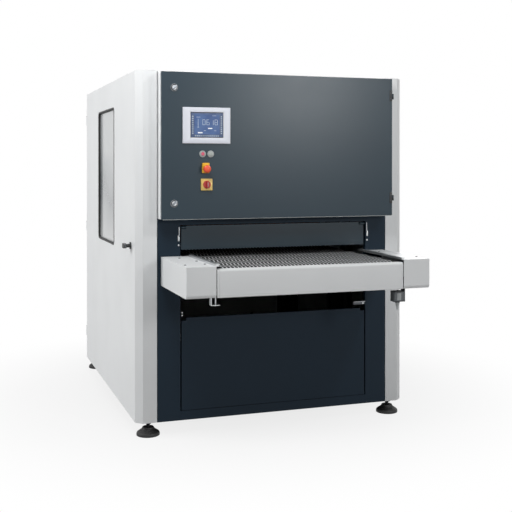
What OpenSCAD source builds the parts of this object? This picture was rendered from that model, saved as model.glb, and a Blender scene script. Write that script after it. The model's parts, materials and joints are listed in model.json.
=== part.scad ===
// Sheet metal deburring machine: a through-feed cabinet with a conveyor table and a height-adjustable head.
// X runs across the machine, Y from the infeed to the outfeed, Z up.
// The origin is on the floor, at the centre.

/* [Cabinet] */
// Width over the side doors
cabinet_w = 1500; // [1460:10:1560]
// Depth from the front face to the rear face
cabinet_d = 1768; // [1700:2:1900]
// Height of the shell's top above the floor
cabinet_h = 1865; // [1840:5:1920]
// Gap between the floor and the shell
floor_gap = 73; // [65:1:85]
// Chamfer on the upright corners
corner_chamfer = 34; // [24:1:40]
// Thickness of the shell's sheet
shell_t = 2; // [1.5:0.5:3]
// Gap between neighbouring cover panels
panel_gap = 2; // [1:0.5:3]
// Depth of the folded edges of the doors
fold_d = 20; // [14:1:24]

/* [Frame] */
// Outer size of the square frame tubes
tube = 70; // [60:2:72]
// Wall of the frame tubes
tube_wall = 4; // [3:1:6]
// Distance from the side doors to the frame
frame_inset = 36; // [34:1:40]
// Distance from the front and rear faces to the frame
frame_end_inset = 30; // [29:1:40]

/* [Feet] */
// Radius of a foot's pad
foot_r = 60; // [40:1:70]
// Radius of a foot's threaded spindle
foot_spindle_r = 10; // [8:1:16]
// Radius of the hub on a foot's pad
foot_hub_r = 28; // [22:1:40]
// Distance from the frame's ends to a foot's centre
foot_inset = 22; // [18:1:40]
// Travel of a foot below its lowest setting
foot_travel = 30; // [20:5:40]

/* [Side doors] */
// Distance from the front face to the window's front edge
window_from_front = 645; // [600:5:700]
// Length of the window
window_l = 570; // [450:5:640]
// Height of the window's lower edge above the floor
window_z = 925; // [880:5:960]
// Height of the window
window_h = 790; // [600:10:820]
// Corner radius of the window
window_r = 30; // [15:1:50]
// Visible width of the window gasket
seal_w = 10; // [8:1:20]
// Recess of the pane behind the door's face
pane_recess = 11; // [8:1:26]
// Thickness of the pane
pane_t = 5; // [4:1:8]
// Distance from the front face to the latch
latch_from_front = 144; // [120:2:200]
// Height of the latch above the floor
latch_z = 965; // [900:5:1100]
// Reach of the latch handle in front of the door's face
latch_reach = 42; // [36:1:50]
// Radius of the door knuckles
knuckle_r = 7; // [6:0.5:8]
// Radius of the hinge pins
hinge_pin_r = 3.5; // [3:0.5:4]
// Height of one hinge
hinge_h = 60; // [40:5:90]

/* [Control housing] */
// Width of the control housing
housing_w = 1280; // [1200:2:1284]
// Height of the housing's underside above the floor
housing_z = 1110; // [1100:2:1140]
// Distance from the cabinet's top down to the housing's top
housing_drop = 13; // [10:1:20]
// Depth by which the control door stands in front of the cabinet
housing_proud = 89; // [70:1:100]
// Depth of the housing behind the cabinet's front face
housing_back = 249; // [200:1:249]
// Radius of a quarter-turn lock's cap
lock_r = 18; // [14:1:20]
// Distance from the door's left edge to the locks
lock_inset = 64; // [50:1:90]
// Distance from the door's upper and lower edges to the locks
lock_end = 80; // [70:1:120]

/* [Operator controls] */
// Width of the operator panel
panel_w = 250; // [220:5:280]
// Height of the operator panel
panel_h = 183; // [160:1:200]
// Distance from the door's left edge to the operator panel
panel_inset = 107; // [95:1:140]
// Distance from the door's upper edge to the operator panel
panel_top = 177; // [150:1:200]
// Depth of the operator panel in front of the door
panel_t = 8; // [6:1:12]
// Width of the display
display_w = 171; // [150:1:180]
// Height of the display
display_h = 128; // [110:1:135]
// Radius of a push button's cap
button_r = 11; // [9:0.5:12]
// Radius of a push button's collar
collar_r = 15; // [14:0.5:17]
// Travel of a push button
button_travel = 3.5; // [2:0.5:4]
// Radius of the emergency-stop mushroom
mushroom_r = 20; // [16:1:22]
// Reach of the mushroom in front of the door
mushroom_reach = 45; // [40:1:55]
// Side of the main switch's plate
switch_side = 60; // [50:1:66]
// Radius of the main switch's handle
switch_r = 20; // [16:1:24]

/* [Feed table] */
// Height of the table's top above the floor
table_z = 915.6; // [905:0.1:930]
// Reach of the table in front of the cabinet and behind it
table_reach = 526.5; // [450:0.5:600]
// Height of the table's side covers
cover_h = 146; // [138:1:150]
// Width of a side cover
cover_w = 142; // [130:1:144]
// Outer distance between the two side covers
table_w = 1247; // [1240:1:1255]
// Radius of the lower front edge of the covers
cover_r = 18; // [8:1:24]
// Width of the conveyor belt
belt_w = 930; // [900:5:936]
// Thickness of the conveyor belt
belt_t = 8; // [6:0.5:9]
// Depth of the belt's surface below the table's top
belt_drop = 10.6; // [9:0.1:14]
// Radius of the conveyor rollers
roller_r = 54.7; // [50:0.1:56]
// Distance from the table's front to the rollers' axis
roller_inset = 85.5; // [84:0.5:100]
// Radius of the rollers' shafts
roller_shaft_r = 15; // [12:0.5:18]
// Travel of the trip bar
trip_travel = 5; // [3:0.5:6]

/* [Inlet] */
// Inner distance between the two front columns
inlet_w = 1044; // [1030:2:1050]
// Height of the inlet flap's lower edge above the belt
inlet_clear = 42; // [30:1:60]
// Height of the soffit strip above the flap
soffit_h = 35; // [30:1:45]
// Height of the lower front panel's top above the floor
lower_panel_top = 598; // [560:2:640]
// Height of the lower front panel's foot above the floor
lower_panel_z = 123; // [118:1:140]

/* [Processing head] */
// Distance of the head's tools above the belt at rest
head_gap = 30; // [29:1:40]
// Thickness of the plates that carry the tools
head_plate_t = 12; // [10:1:14]
// Radius of the contact drum
drum_r = 90; // [70:1:95]
// Radius of the tension roller
tension_r = 60; // [40:1:70]
// Distance between the drum's axis and the tension roller's axis
belt_centres = 560; // [480:5:580]
// Thickness of the abrasive belt
abrasive_t = 2; // [1:0.5:3]
// Width of the abrasive belt
abrasive_w = 910; // [880:5:920]
// Radius of the brush roller
brush_r = 125; // [100:1:135]
// Radius of the tool shafts
tool_shaft_r = 25; // [18:1:28]
// Radius of a lifting column's ram
ram_r = 27; // [22:1:28]
// Wall of a lifting column
column_wall = 5; // [3:0.5:6]

/* [Connections] */
// Outer radius of the extraction spigot
spigot_r = 80; // [60:1:100]
// Length of the extraction spigot
spigot_l = 100; // [60:5:150]
// Height of the extraction spigot above the floor
spigot_z = 1500; // [1400:10:1600]
// Bore radius of the mains gland
gland_bore_r = 11; // [8:0.5:14]
// Height of the mains gland above the floor
gland_z = 300; // [250:10:400]

/* [Hidden] */
$fn = 96;

// Fits: radial play of a shaft in its bore, air between moving pieces, and the overrun of a cut
play = 0.05;
air = 0.3;
over = 1;
// A thin plate, a small step and a screw head, used on many pieces
plate_t = 3;
step = 1;
screw_r = 6;
screw_h = 3;

// Cabinet
half_w = cabinet_w / 2;
half_d = cabinet_d / 2;
top_z = cabinet_h;
frame_x = half_w - frame_inset;
frame_in = frame_x - tube;
front_return_x = frame_in;
frame_front = -half_d + frame_end_inset;
frame_rear = half_d - corner_chamfer;
frame_top = top_z - 2 * shell_t;
beam_top = floor_gap + tube;

// Side-door hinge
hinge_inset = 4;
hinge_set = 2;
hinge_x = half_w - hinge_inset;
hinge_y = half_d - corner_chamfer + hinge_set;
door_end = hinge_y - knuckle_r + step;
hinge_leaf = [12, 3, 11];
corner_air = 2.5;
hinge_low = 150;
hinge_gap = (top_z - floor_gap - 2 * hinge_low - hinge_h) / 2;
side_hinges = [for (i = [0:2]) floor_gap + hinge_low + i * hinge_gap];

// Window
window_front = -half_d + window_from_front;
latch_y = -half_d + latch_from_front;
latch_shaft_r = 8;
rosette_r = 18;
rosette_t = 6;
latch_bar_l = 50;
latch_bar_h = 25;
latch_bar_t = 15;
cam_l = 45;
cam_w = 22;
cam_t = 4;
cam_depth = 12;

// Front
col_in = inlet_w / 2;
col_out = front_return_x - panel_gap;
col_fold = 30;
housing_x = housing_w / 2;
housing_top = top_z - housing_drop;
door_front = -half_d - housing_proud;
door_back = door_front + shell_t + fold_d;
housing_front = door_back + panel_gap;
housing_rear = -half_d + housing_back;
housing_lip = 38;
gate_x = housing_x + knuckle_r + step;
gate_set = 11;
gate_y = door_front + gate_set;
gate_hinge_h = 30;
gate_hinges = [housing_z + lock_end, housing_top - lock_end - gate_hinge_h];
leaf_t = 3;
lock_x = -housing_x + lock_inset;
lock_shaft_r = 9;
lock_cap_t = 4;
lock_rim = 4;
lock_z = [housing_z + lock_end, housing_top - lock_end];
lock_cam_l = 40;

// Operator controls, measured from the door's left upper corner; they move together on a lower door
door_room_full = 559;
door_room = housing_top - housing_z - panel_h;
drop_share = door_room < door_room_full ? door_room / door_room_full : 1;
panel_x = -housing_x + panel_inset;
panel_z = housing_top - panel_top * drop_share - panel_h;
panel_r = 6;
display_inset = [41, 30];
display_x = panel_x + display_inset[0];
display_z = panel_z + display_inset[1];
display_t = 2.5;
pocket_d = 3.5;
button_drop = 52.5;
stop_inset = 211.5;
start_inset = 254;
button_z = panel_z - button_drop * drop_share;
stop_x = -housing_x + stop_inset;
start_x = -housing_x + start_inset;
collar_t = 5;
cap_proud = 9;
button_rim = 2;
estop_inset = 227;
estop_drop = 129;
estop_x = -housing_x + estop_inset;
estop_z = panel_z - estop_drop * drop_share;
estop_plate_w = 38;
estop_plate_h = 52;
estop_plate_t = 12;
estop_plate_rise = 31;
estop_top_z = estop_z + estop_plate_rise;
mushroom_t = 16;
mushroom_shares = [[0, 0], [0.55, 0], [0.85, 0.12], [0.97, 0.35], [1, 0.6], [0.94, 1], [0, 1]];
estop_stem_r = 11;
switch_inset = 232;
switch_drop = 208;
switch_x = -housing_x + switch_inset;
switch_z = panel_z - switch_drop * drop_share;
switch_plate_t = 9;
switch_collar_t = 5;
switch_grip_t = 18;
switch_grip_w = 13;
switch_stem_r = 6;

// Table
table_front = half_d + table_reach;
cover_out = table_w / 2;
cover_in = cover_out - cover_w;
cover_z = table_z - cover_h;
belt_z = table_z - belt_drop;
bed_z = belt_z - belt_t;
belt_air = 0.3;
belt_in_r = roller_r + belt_air;
roller_y = table_front - roller_inset;
roller_z = bed_z - belt_in_r;
roller_margin = 3;
roller_x = belt_w / 2 + roller_margin;
shaft_gap = 5;
bed_t = 4;
beam_in = 500;
beam_t = 8;
beam_h = 103;
beam_z = bed_z - bed_t - beam_h;
beam_inset = 25.5;
beam_end = table_front - beam_inset;
bearing_t = 22;
bearing_half = 25;
shaft_end = beam_in + beam_t + bearing_t - step;
guide_w = 16;
guide_h = 11.4;
guide_overhang = 11.5;
guide_x = cover_in - guide_overhang;
station_y = 440;
leg_w = 60;

// Trip bar
trip_margin = 4;
trip_end = 11;
trip_half = cover_in - trip_margin;
trip_drop = 12.6;
trip_lift = 2.4;
trip_top = table_z - trip_drop;
trip_bottom = cover_z + trip_lift;
trip_lip = 12;
trip_return = 38;
trip_ear_h = 24;
trip_ear_z = roller_z - trip_ear_h / 2;
trip_ear_t = 3;
trip_rod_r = 5;
trip_rod_inset = 11;
trip_rod_x = beam_in - trip_rod_inset;
trip_rod_l = 34;
lug_w = 22;
lug_l = 20;
ear_inset = 9.5;
ear_y = table_front - ear_inset;

// Inlet flap and lower front panel
flap_side_gap = 7;
flap_half = col_in - flap_side_gap;
flap_low = belt_z + inlet_clear;
soffit_z = housing_z - soffit_h;
flap_pin_depth = 8;
flap_axis_drop = 12;
flap_axis_y = -half_d + flap_pin_depth;
flap_axis_z = soffit_z - flap_axis_drop;
flap_t = 3;
flap_set = 10;
flap_ear_r = 8;
flap_pin_r = 4;
flap_pin_l = 25;
panel_axis_rise = 10;
panel_axis_z = lower_panel_z + panel_axis_rise;
notch_w = 24;
notch_h = 14;

// Head
head_x = housing_x;
head_beam_w = 70;
head_beam_h = 60;
head_z = 1290;
head_half_l = 520;
head_plate_x = 520;
head_plate_rise = 55;
head_plate_z = belt_z + head_plate_rise;
tool_z = belt_z + head_gap;
drum_y = -300;
drum_z = tool_z + abrasive_t + belt_air + drum_r;
tension_z = drum_z + belt_centres;
brush_y = 250;
brush_z = tool_z + brush_r;
tool_half = 460;
mast_w = 120;
mast_rise = 62;
mast_top = tension_z + mast_rise;
motor_r = 80;
motor_l = 100;
ram_x = 605;
ram_low = 500;
column_top = 900;
shaft_stop = head_plate_x + head_plate_t - step;

// Basic solids
module block(x, y, z) {
    translate([x[0], y[0], z[0]]) cube([x[1] - x[0], y[1] - y[0], z[1] - z[0]]);
}
module rod_x(x, y, z, r) {
    translate([x[0], y, z]) rotate([0, 90, 0]) cylinder(r = r, h = x[1] - x[0]);
}
module rod_y(x, y, z, r) {
    translate([x, y[1], z]) rotate([90, 0, 0]) cylinder(r = r, h = y[1] - y[0]);
}
module rod_z(x, y, z, r) {
    translate([x, y, z[0]]) cylinder(r = r, h = z[1] - z[0]);
}
// Rectangle with true round corners, from its lower left corner
module rounded(w, h, r) {
    translate([r, 0]) square([w - 2 * r, h]);
    translate([0, r]) square([w, h - 2 * r]);
    for (x = [r, w - r], y = [r, h - r]) translate([x, y]) circle(r);
}
// Plate with rounded corners, square to X or square to Y
module plate_x(x, y, z, r) {
    translate([x[0], y[0], z[0]]) rotate([90, 0, 90])
        linear_extrude(x[1] - x[0]) rounded(y[1] - y[0], z[1] - z[0], r);
}
module plate_y(x, y, z, r) {
    translate([x[0], y[1], z[0]]) rotate([90, 0, 0])
        linear_extrude(y[1] - y[0]) rounded(x[1] - x[0], z[1] - z[0], r);
}
module flip_x(side) {
    mirror([side < 0 ? 1 : 0, 0, 0]) children();
}
module flip_y(side) {
    mirror([0, side < 0 ? 1 : 0, 0]) children();
}
module both_x() {
    for (side = [-1, 1]) flip_x(side) children();
}
module both_y() {
    for (side = [-1, 1]) flip_y(side) children();
}
// Hollow square tube along an axis
module tube_along(axis, x, y, z) {
    w = tube_wall;
    difference() {
        block(x, y, z);
        if (axis == "x") block([x[0] - over, x[1] + over], [y[0] + w, y[1] - w], [z[0] + w, z[1] - w]);
        if (axis == "y") block([x[0] + w, x[1] - w], [y[0] - over, y[1] + over], [z[0] + w, z[1] - w]);
        if (axis == "z") block([x[0] + w, x[1] - w], [y[0] + w, y[1] - w], [z[0] - over, z[1] + over]);
    }
}
// Welded frame of square tubes with a bottom pan
module machine_frame() {
    color("dimgray") {
        foot_y = [frame_front + foot_inset, frame_rear - foot_inset];
        both_x() difference() {
            tube_along("y", [frame_in, frame_x], [frame_front, frame_rear], [floor_gap, beam_top]);
            for (y = foot_y) rod_z(frame_x - tube / 2, y, [floor_gap - over, floor_gap + 2 * tube_wall],
                foot_spindle_r + play);
        }
        both_x() tube_along("y", [frame_in, frame_x], [frame_front, frame_rear],
            [frame_top - tube, frame_top]);
        both_x() for (y = [frame_front, frame_rear - tube])
            tube_along("z", [frame_in, frame_x], [y, y + tube], [beam_top, frame_top - tube]);
        cross_y = [frame_front, -station_y - tube / 2, station_y - tube / 2, frame_rear - tube];
        for (y = cross_y) tube_along("x", [-frame_in, frame_in], [y, y + tube], [floor_gap, beam_top]);
        for (i = [0:2]) block([-frame_in, frame_in], [cross_y[i] + tube, cross_y[i + 1]],
            [floor_gap, floor_gap + plate_t]);
        for (y = [housing_rear, frame_rear - tube])
            tube_along("x", [-frame_in, frame_in], [y, y + tube], [frame_top - tube, frame_top]);
    }
}

// Plan outline of a side door's sheet: side, corner chamfer and front return, to a depth d
function door_strip(d) = let (q = d * tan(22.5)) [
    [half_w, door_end], [half_w, -half_d + corner_chamfer], [half_w - corner_chamfer, -half_d],
    [front_return_x, -half_d], [front_return_x, -half_d + d], [half_w - corner_chamfer - q, -half_d + d],
    [half_w - d, -half_d + corner_chamfer + q], [half_w - d, door_end]];

module hinge_barrel(z, h) {
    rod_z(hinge_x, hinge_y, [z, z + h], knuckle_r);
}

// Side door on the right, with its folded edges and knuckles; the window is cut for the left door
module side_door(window) {
    difference() {
        union() {
            translate([0, 0, floor_gap]) linear_extrude(top_z - floor_gap) polygon(door_strip(shell_t));
            for (z = [floor_gap, top_z - shell_t])
                translate([0, 0, z]) linear_extrude(shell_t) polygon(door_strip(fold_d));
            block([half_w - fold_d, half_w], [door_end - shell_t, door_end], [floor_gap, top_z]);
            block([front_return_x, front_return_x + shell_t], [-half_d, -half_d + fold_d],
                [floor_gap, top_z]);
            for (z = side_hinges) hinge_barrel(z + hinge_h / 2 + air, hinge_h / 2 - air);
        }
        for (z = side_hinges) {
            rod_z(hinge_x, hinge_y, [z - step, z + hinge_h / 2 + air], knuckle_r + step);
            rod_z(hinge_x, hinge_y, [z, z + hinge_h + over], hinge_pin_r + play);
        }
        rod_x([half_w - shell_t - over, half_w + over], latch_y, latch_z, latch_shaft_r + play);
        if (window) plate_x([half_w - shell_t - over, half_w + over],
            [window_front + seal_w / 2, window_front + window_l - seal_w / 2],
            [window_z + seal_w / 2, window_z + window_h - seal_w / 2], window_r - seal_w / 2);
    }
}
module left_side_door() {
    color("white") flip_x(-1) side_door(true);
}
module right_side_door() {
    color("white") side_door(false);
}

// Black rubber gasket: a lip on the door's face and a deep jamb that holds the pane
module window_seal() {
    y = [window_front, window_front + window_l];
    z = [window_z, window_z + window_h];
    jamb = seal_w / 2;
    color("black") flip_x(-1) difference() {
        union() {
            plate_x([half_w, half_w + step], y, z, window_r);
            plate_x([half_w - pane_recess - pane_t, half_w], [y[0] + jamb + air, y[1] - jamb - air],
                [z[0] + jamb + air, z[1] - jamb - air], window_r - jamb);
        }
        plate_x([half_w - pane_recess - pane_t - over, half_w + step + over], [y[0] + seal_w, y[1] - seal_w],
            [z[0] + seal_w, z[1] - seal_w], window_r - jamb);
        plate_x([half_w - pane_recess - pane_t - over, half_w - pane_recess],
            [y[0] + seal_w - plate_t, y[1] - seal_w + plate_t],
            [z[0] + seal_w - plate_t, z[1] - seal_w + plate_t], window_r - jamb);
    }
}
module window_pane() {
    edge = seal_w - plate_t;
    color([0.7, 0.75, 0.8, 0.5]) flip_x(-1)
        plate_x([half_w - pane_recess - pane_t, half_w - pane_recess],
            [window_front + edge, window_front + window_l - edge],
            [window_z + edge, window_z + window_h - edge], window_r - seal_w / 2);
}

// T-handle with its rosette, shaft and cam; at rest the cam stands upright, clear of its catch
module door_latch() {
    bar_x = half_w + latch_reach - latch_bar_t;
    rod_x([half_w + air, half_w + rosette_t], latch_y, latch_z, rosette_r);
    rod_x([half_w - cam_depth - cam_t, bar_x + step], latch_y, latch_z, latch_shaft_r);
    plate_x([bar_x, half_w + latch_reach], [latch_y - latch_bar_l / 2, latch_y + latch_bar_l / 2],
        [latch_z - latch_bar_h / 2, latch_z + latch_bar_h / 2], latch_bar_h / 2 - step);
    plate_x([half_w - cam_depth - cam_t, half_w - cam_depth], [latch_y - cam_w / 2, latch_y + cam_w / 2],
        [latch_z - cam_w / 2, latch_z + cam_l], cam_w / 2 - step);
}
module left_door_latch() {
    color("black") flip_x(-1) door_latch();
}
module right_door_latch() {
    color("black") door_latch();
}

module roof_panel() {
    roof_x = half_w - fold_d - panel_gap;
    roof_front = -half_d + panel_gap;
    roof_wide = -half_d + corner_chamfer + fold_d / 2;
    z = [frame_top, frame_top + shell_t];
    color("white") {
        block([-roof_x, roof_x], [roof_wide, door_end - shell_t - panel_gap], z);
        block([-frame_x, frame_x], [frame_front, roof_wide + over], z);
        block([-frame_x, frame_x], [door_end - fold_d, half_d], z);
        block([-housing_x, housing_x], [roof_front, frame_front + over], z);
        block([-housing_x, housing_x], [roof_front, roof_front + shell_t], [housing_top, frame_top]);
    }
}

// Half-width of the rear panel, and the mains gland's place and size
function rear_x() = front_return_x - panel_gap;
gland_x = 450;
gland_body_r = 18;
gland_nut_r = 22;
gland_l = 36;

// Rear panel with the outfeed slot and the holes for the spigot and the gland
module rear_panel() {
    x = rear_x();
    color("white") difference() {
        union() {
            block([-x, x], [half_d - shell_t, half_d], [floor_gap + panel_gap, frame_top]);
            both_x() block([x - shell_t, x], [half_d - fold_d, half_d], [floor_gap + panel_gap, frame_top]);
        }
        block([-col_in, col_in], [half_d - fold_d - over, half_d + over], [cover_z, flap_low]);
        rod_y(0, [half_d - shell_t - over, half_d + over], spigot_z, spigot_r - shell_t);
        rod_y(gland_x, [half_d - shell_t - over, half_d + over], gland_z, gland_bore_r);
    }
}

// Fixed rear corners: return, chamfer and the lower halves of the hinges
module rear_corner_posts() {
    z = [floor_gap, frame_top];
    // End of the chamfer, clear of the turning knuckles
    u = knuckle_r + corner_air;
    q = shell_t * tan(22.5);
    tip = [half_w - u, half_d - corner_chamfer + u];
    color("white") both_x() difference() {
        union() {
            translate([0, 0, z[0]]) linear_extrude(z[1] - z[0]) polygon([[front_return_x, half_d],
                [half_w - corner_chamfer, half_d], tip, tip - [shell_t, shell_t] / sqrt(2),
                [half_w - corner_chamfer - q, half_d - shell_t], [front_return_x, half_d - shell_t]]);
            block([front_return_x, front_return_x + shell_t], [half_d - corner_chamfer, half_d], z);
            for (h = side_hinges) {
                hinge_barrel(h, hinge_h / 2);
                block([hinge_x - hinge_leaf[0], hinge_x], [hinge_y + hinge_leaf[1], hinge_y + hinge_leaf[2]],
                    [h, h + hinge_h / 2]);
            }
        }
        for (h = side_hinges) rod_z(hinge_x, hinge_y, [h - over, h + hinge_h], hinge_pin_r + play);
        translate([0, 0, z[0] - over]) linear_extrude(z[1] - z[0] + 2 * over)
            polygon([[half_w - corner_chamfer, half_d], [half_w + over, half_d],
                [half_w + over, half_d - corner_chamfer - over]]);
    }
}

module extraction_spigot() {
    flange_r = spigot_r + fold_d;
    color("silver") difference() {
        union() {
            rod_y(0, [half_d, half_d + spigot_l], spigot_z, spigot_r);
            rod_y(0, [half_d, half_d + plate_t], spigot_z, flange_r);
        }
        rod_y(0, [half_d - over, half_d + spigot_l + over], spigot_z, spigot_r - shell_t);
    }
}

// Dark column panels beside the passage, with bores for the flap's and the lower panel's pins
module front_columns() {
    z = [floor_gap, housing_z];
    color("darkslategray") both_x() difference() {
        union() {
            block([col_in, col_out], [-half_d, -half_d + shell_t], z);
            for (x = [col_in, col_out - shell_t]) block([x, x + shell_t], [-half_d, -half_d + col_fold], z);
            block([col_in, col_out], [-half_d, -half_d + col_fold], [z[1] - shell_t, z[1]]);
        }
        for (pin_z = [flap_axis_z, panel_axis_z])
            rod_x([col_in - over, col_in + shell_t + over], flap_axis_y, pin_z, flap_pin_r + play);
    }
}
module inlet_soffit() {
    color("darkslategray") {
        block([-col_in, col_in], [-half_d, -half_d + shell_t], [soffit_z, housing_z]);
        block([-col_in, col_in], [-half_d, -half_d + col_fold], [housing_z - shell_t, housing_z]);
    }
}
module front_plinth() {
    color("darkslategray") {
        block([-col_in, col_in], [-half_d, -half_d + shell_t], [floor_gap, lower_panel_z - panel_gap]);
        block([-col_in, col_in], [-half_d, frame_front], [floor_gap, floor_gap + shell_t]);
    }
}

// Panel between the columns that turns on two end pins: the flap at its top, the lower panel at its foot
module pinned_panel(z, axis_z, front) {
    block([-flap_half, flap_half], [front, front + flap_t], z);
    both_x() {
        hull() {
            rod_x([flap_half - flap_pin_l, flap_half], flap_axis_y, axis_z, flap_ear_r);
            block([flap_half - flap_pin_l, flap_half], [front, front + flap_t],
                [axis_z - flap_ear_r, axis_z + flap_ear_r]);
        }
        rod_x([flap_half - flap_pin_l, col_in + shell_t + plate_t], flap_axis_y, axis_z, flap_pin_r);
    }
}
module inlet_flap() {
    color("darkslategray") {
        front = -half_d + flap_set;
        pinned_panel([flap_low, flap_axis_z + flap_ear_r], flap_axis_z, front);
        block([-flap_half, flap_half], [front, front + fold_d / 2], [flap_low, flap_low + flap_t]);
        both_x() block([flap_half - flap_t, flap_half], [front, front + fold_d / 2], [flap_low, flap_axis_z]);
    }
}
module lower_front_panel() {
    color("darkslategray") difference() {
        union() {
            pinned_panel([lower_panel_z, lower_panel_top], panel_axis_z, -half_d);
            block([-flap_half, flap_half], [-half_d, -half_d + fold_d],
                [lower_panel_top - flap_t, lower_panel_top]);
            both_x() block([flap_half - flap_t, flap_half], [-half_d, -half_d + fold_d],
                [panel_axis_z, lower_panel_top]);
        }
        both_x() block([flap_half - notch_w, flap_half + over], [-half_d - over, -half_d + fold_d + over],
            [lower_panel_top - notch_h, lower_panel_top + over]);
    }
}

// White housing of the control cabinet, open to the front
module control_housing() {
    t = shell_t;
    color("white") difference() {
        block([-housing_x, housing_x], [housing_front, housing_rear], [housing_z, housing_top]);
        block([-housing_x + t, housing_x - t], [housing_front + t, housing_rear - t],
            [housing_z + t, housing_top - t]);
        block([-housing_x + housing_lip, housing_x - housing_lip],
            [housing_front - over, housing_front + 2 * t], [housing_z + housing_lip, housing_top - housing_lip]);
    }
}

// Control door: folded sheet with the upper halves of its hinges and the holes for what it carries
module cabinet_door() {
    t = shell_t;
    color("darkslategray") difference() {
        union() {
            difference() {
                block([-housing_x, housing_x], [door_front, door_back], [housing_z, housing_top]);
                block([-housing_x + t, housing_x - t], [door_front + t, door_back + over],
                    [housing_z + t, housing_top - t]);
            }
            for (z = gate_hinges) {
                rod_z(gate_x, gate_y, [z + gate_hinge_h / 2 + air, z + gate_hinge_h], knuckle_r);
                block([housing_x - t, gate_x], [gate_y - leaf_t / 2, gate_y + leaf_t / 2],
                    [z + gate_hinge_h / 2 + air, z + gate_hinge_h]);
            }
        }
        for (z = gate_hinges) rod_z(gate_x, gate_y, [z, z + gate_hinge_h + over], hinge_pin_r + play);
        through = [door_front - over, door_front + t + over];
        for (z = lock_z) rod_y(lock_x, through, z, lock_shaft_r + play);
        for (x = [stop_x, start_x]) rod_y(x, through, button_z, button_r + air);
        rod_y(estop_x, through, estop_z, estop_stem_r + step);
        rod_y(switch_x, through, switch_z, switch_stem_r + step);
    }
}

// Pins of all hinges, and the fixed halves of the control door's hinges
module hinge_pins() {
    color("#202224") {
        both_x() for (z = side_hinges) {
            rod_z(hinge_x, hinge_y, [z - step, z + hinge_h + step], hinge_pin_r);
            rod_z(hinge_x, hinge_y, [z + hinge_h + air, z + hinge_h + plate_t], knuckle_r - step);
        }
        for (z = gate_hinges) {
            low = [z, z + gate_hinge_h / 2];
            rod_z(gate_x, gate_y, low, knuckle_r);
            rod_z(gate_x, gate_y, [z, z + gate_hinge_h - step], hinge_pin_r);
            block([gate_x - leaf_t, gate_x + leaf_t], [gate_y, housing_front + fold_d], low);
            block([housing_x, gate_x], [housing_front + plate_t, housing_front + fold_d], low);
        }
    }
}

// Quarter-turn lock: cap, slot, shaft and cam; at rest the cam stands upright
module door_lock(z) {
    cam_y = housing_front + 2 * shell_t + step;
    color("lightgray") difference() {
        union() {
            rod_y(lock_x, [door_front - lock_cap_t, door_front - air], z, lock_r);
            rod_y(lock_x, [door_front - lock_cap_t - plate_t, door_front - air], z, lock_r - lock_rim);
            rod_y(lock_x, [door_front - air, cam_y + cam_t], z, lock_shaft_r);
            plate_y([lock_x - cam_w / 2, lock_x + cam_w / 2], [cam_y, cam_y + cam_t],
                [z - cam_w / 2, z + lock_cam_l], cam_w / 2 - step);
        }
        block([lock_x - lock_r / 2, lock_x + lock_r / 2],
            [door_front - lock_cap_t - plate_t - over, door_front - lock_cap_t], [z - step, z + step]);
    }
}
module upper_door_lock() {
    door_lock(lock_z[1]);
}
module lower_door_lock() {
    door_lock(lock_z[0]);
}

// Operator panel: bezel with a pocket for the display
module operator_panel() {
    color("silver") difference() {
        plate_y([panel_x, panel_x + panel_w], [door_front - panel_t, door_front],
            [panel_z, panel_z + panel_h], panel_r);
        block([display_x - air, display_x + display_w + air],
            [door_front - panel_t - over, door_front - panel_t + pocket_d],
            [display_z - air, display_z + display_h + air]);
    }
}
module operator_display() {
    back = door_front - panel_t + pocket_d;
    color("royalblue") block([display_x, display_x + display_w], [back - display_t, back],
        [display_z, display_z + display_h]);
}

module button_collars() {
    color("silver") for (x = [stop_x, start_x]) difference() {
        rod_y(x, [door_front - collar_t, door_front], button_z, collar_r);
        rod_y(x, [door_front - collar_t - over, door_front + over], button_z, button_r + play);
    }
}
module push_button(x) {
    rod_y(x, [door_front - cap_proud, door_front - step / 2], button_z, button_r);
    rod_y(x, [door_front - step, door_front + button_travel * 2], button_z, button_r - button_rim);
}
module stop_button() {
    color("crimson") push_button(stop_x);
}
module start_button() {
    color("whitesmoke") push_button(start_x);
}

module estop_housing() {
    color("gold") difference() {
        plate_y([estop_x - estop_plate_w / 2, estop_x + estop_plate_w / 2],
            [door_front - estop_plate_t, door_front],
            [estop_top_z - estop_plate_h, estop_top_z], plate_t);
        rod_y(estop_x, [door_front - estop_plate_t - over, door_front + over], estop_z, estop_stem_r + play);
    }
}
// Mushroom button: a flat dome on a stem
module estop_mushroom() {
    face = door_front - mushroom_reach;
    color("red") {
        translate([estop_x, face, estop_z]) rotate([-90, 0, 0]) rotate_extrude() {
            polygon([for (p = mushroom_shares) [mushroom_r * p[0], mushroom_t * p[1]]]);
        }
        rod_y(estop_x, [face + mushroom_t / 2, door_front + shell_t], estop_z, estop_stem_r);
    }
}

module switch_plate() {
    half = switch_side / 2;
    color("gold") difference() {
        plate_y([switch_x - half, switch_x + half], [door_front - switch_plate_t, door_front],
            [switch_z - half, switch_z + half], plate_t);
        rod_y(switch_x, [door_front - switch_plate_t - over, door_front + over], switch_z,
            switch_stem_r + play);
    }
}
// Rotary handle: a round collar with a raised grip bar, upright at rest
module main_switch_handle() {
    face = door_front - switch_plate_t - air;
    color("red") {
        rod_y(switch_x, [face - switch_collar_t, face], switch_z, switch_r);
        plate_y([switch_x - switch_grip_w / 2, switch_x + switch_grip_w / 2],
            [face - switch_collar_t - switch_grip_t, face - switch_collar_t],
            [switch_z - switch_r, switch_z + switch_r], switch_grip_w / 2 - step);
        rod_y(switch_x, [face - step, door_front + shell_t + cam_depth], switch_z, switch_stem_r);
    }
}

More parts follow.
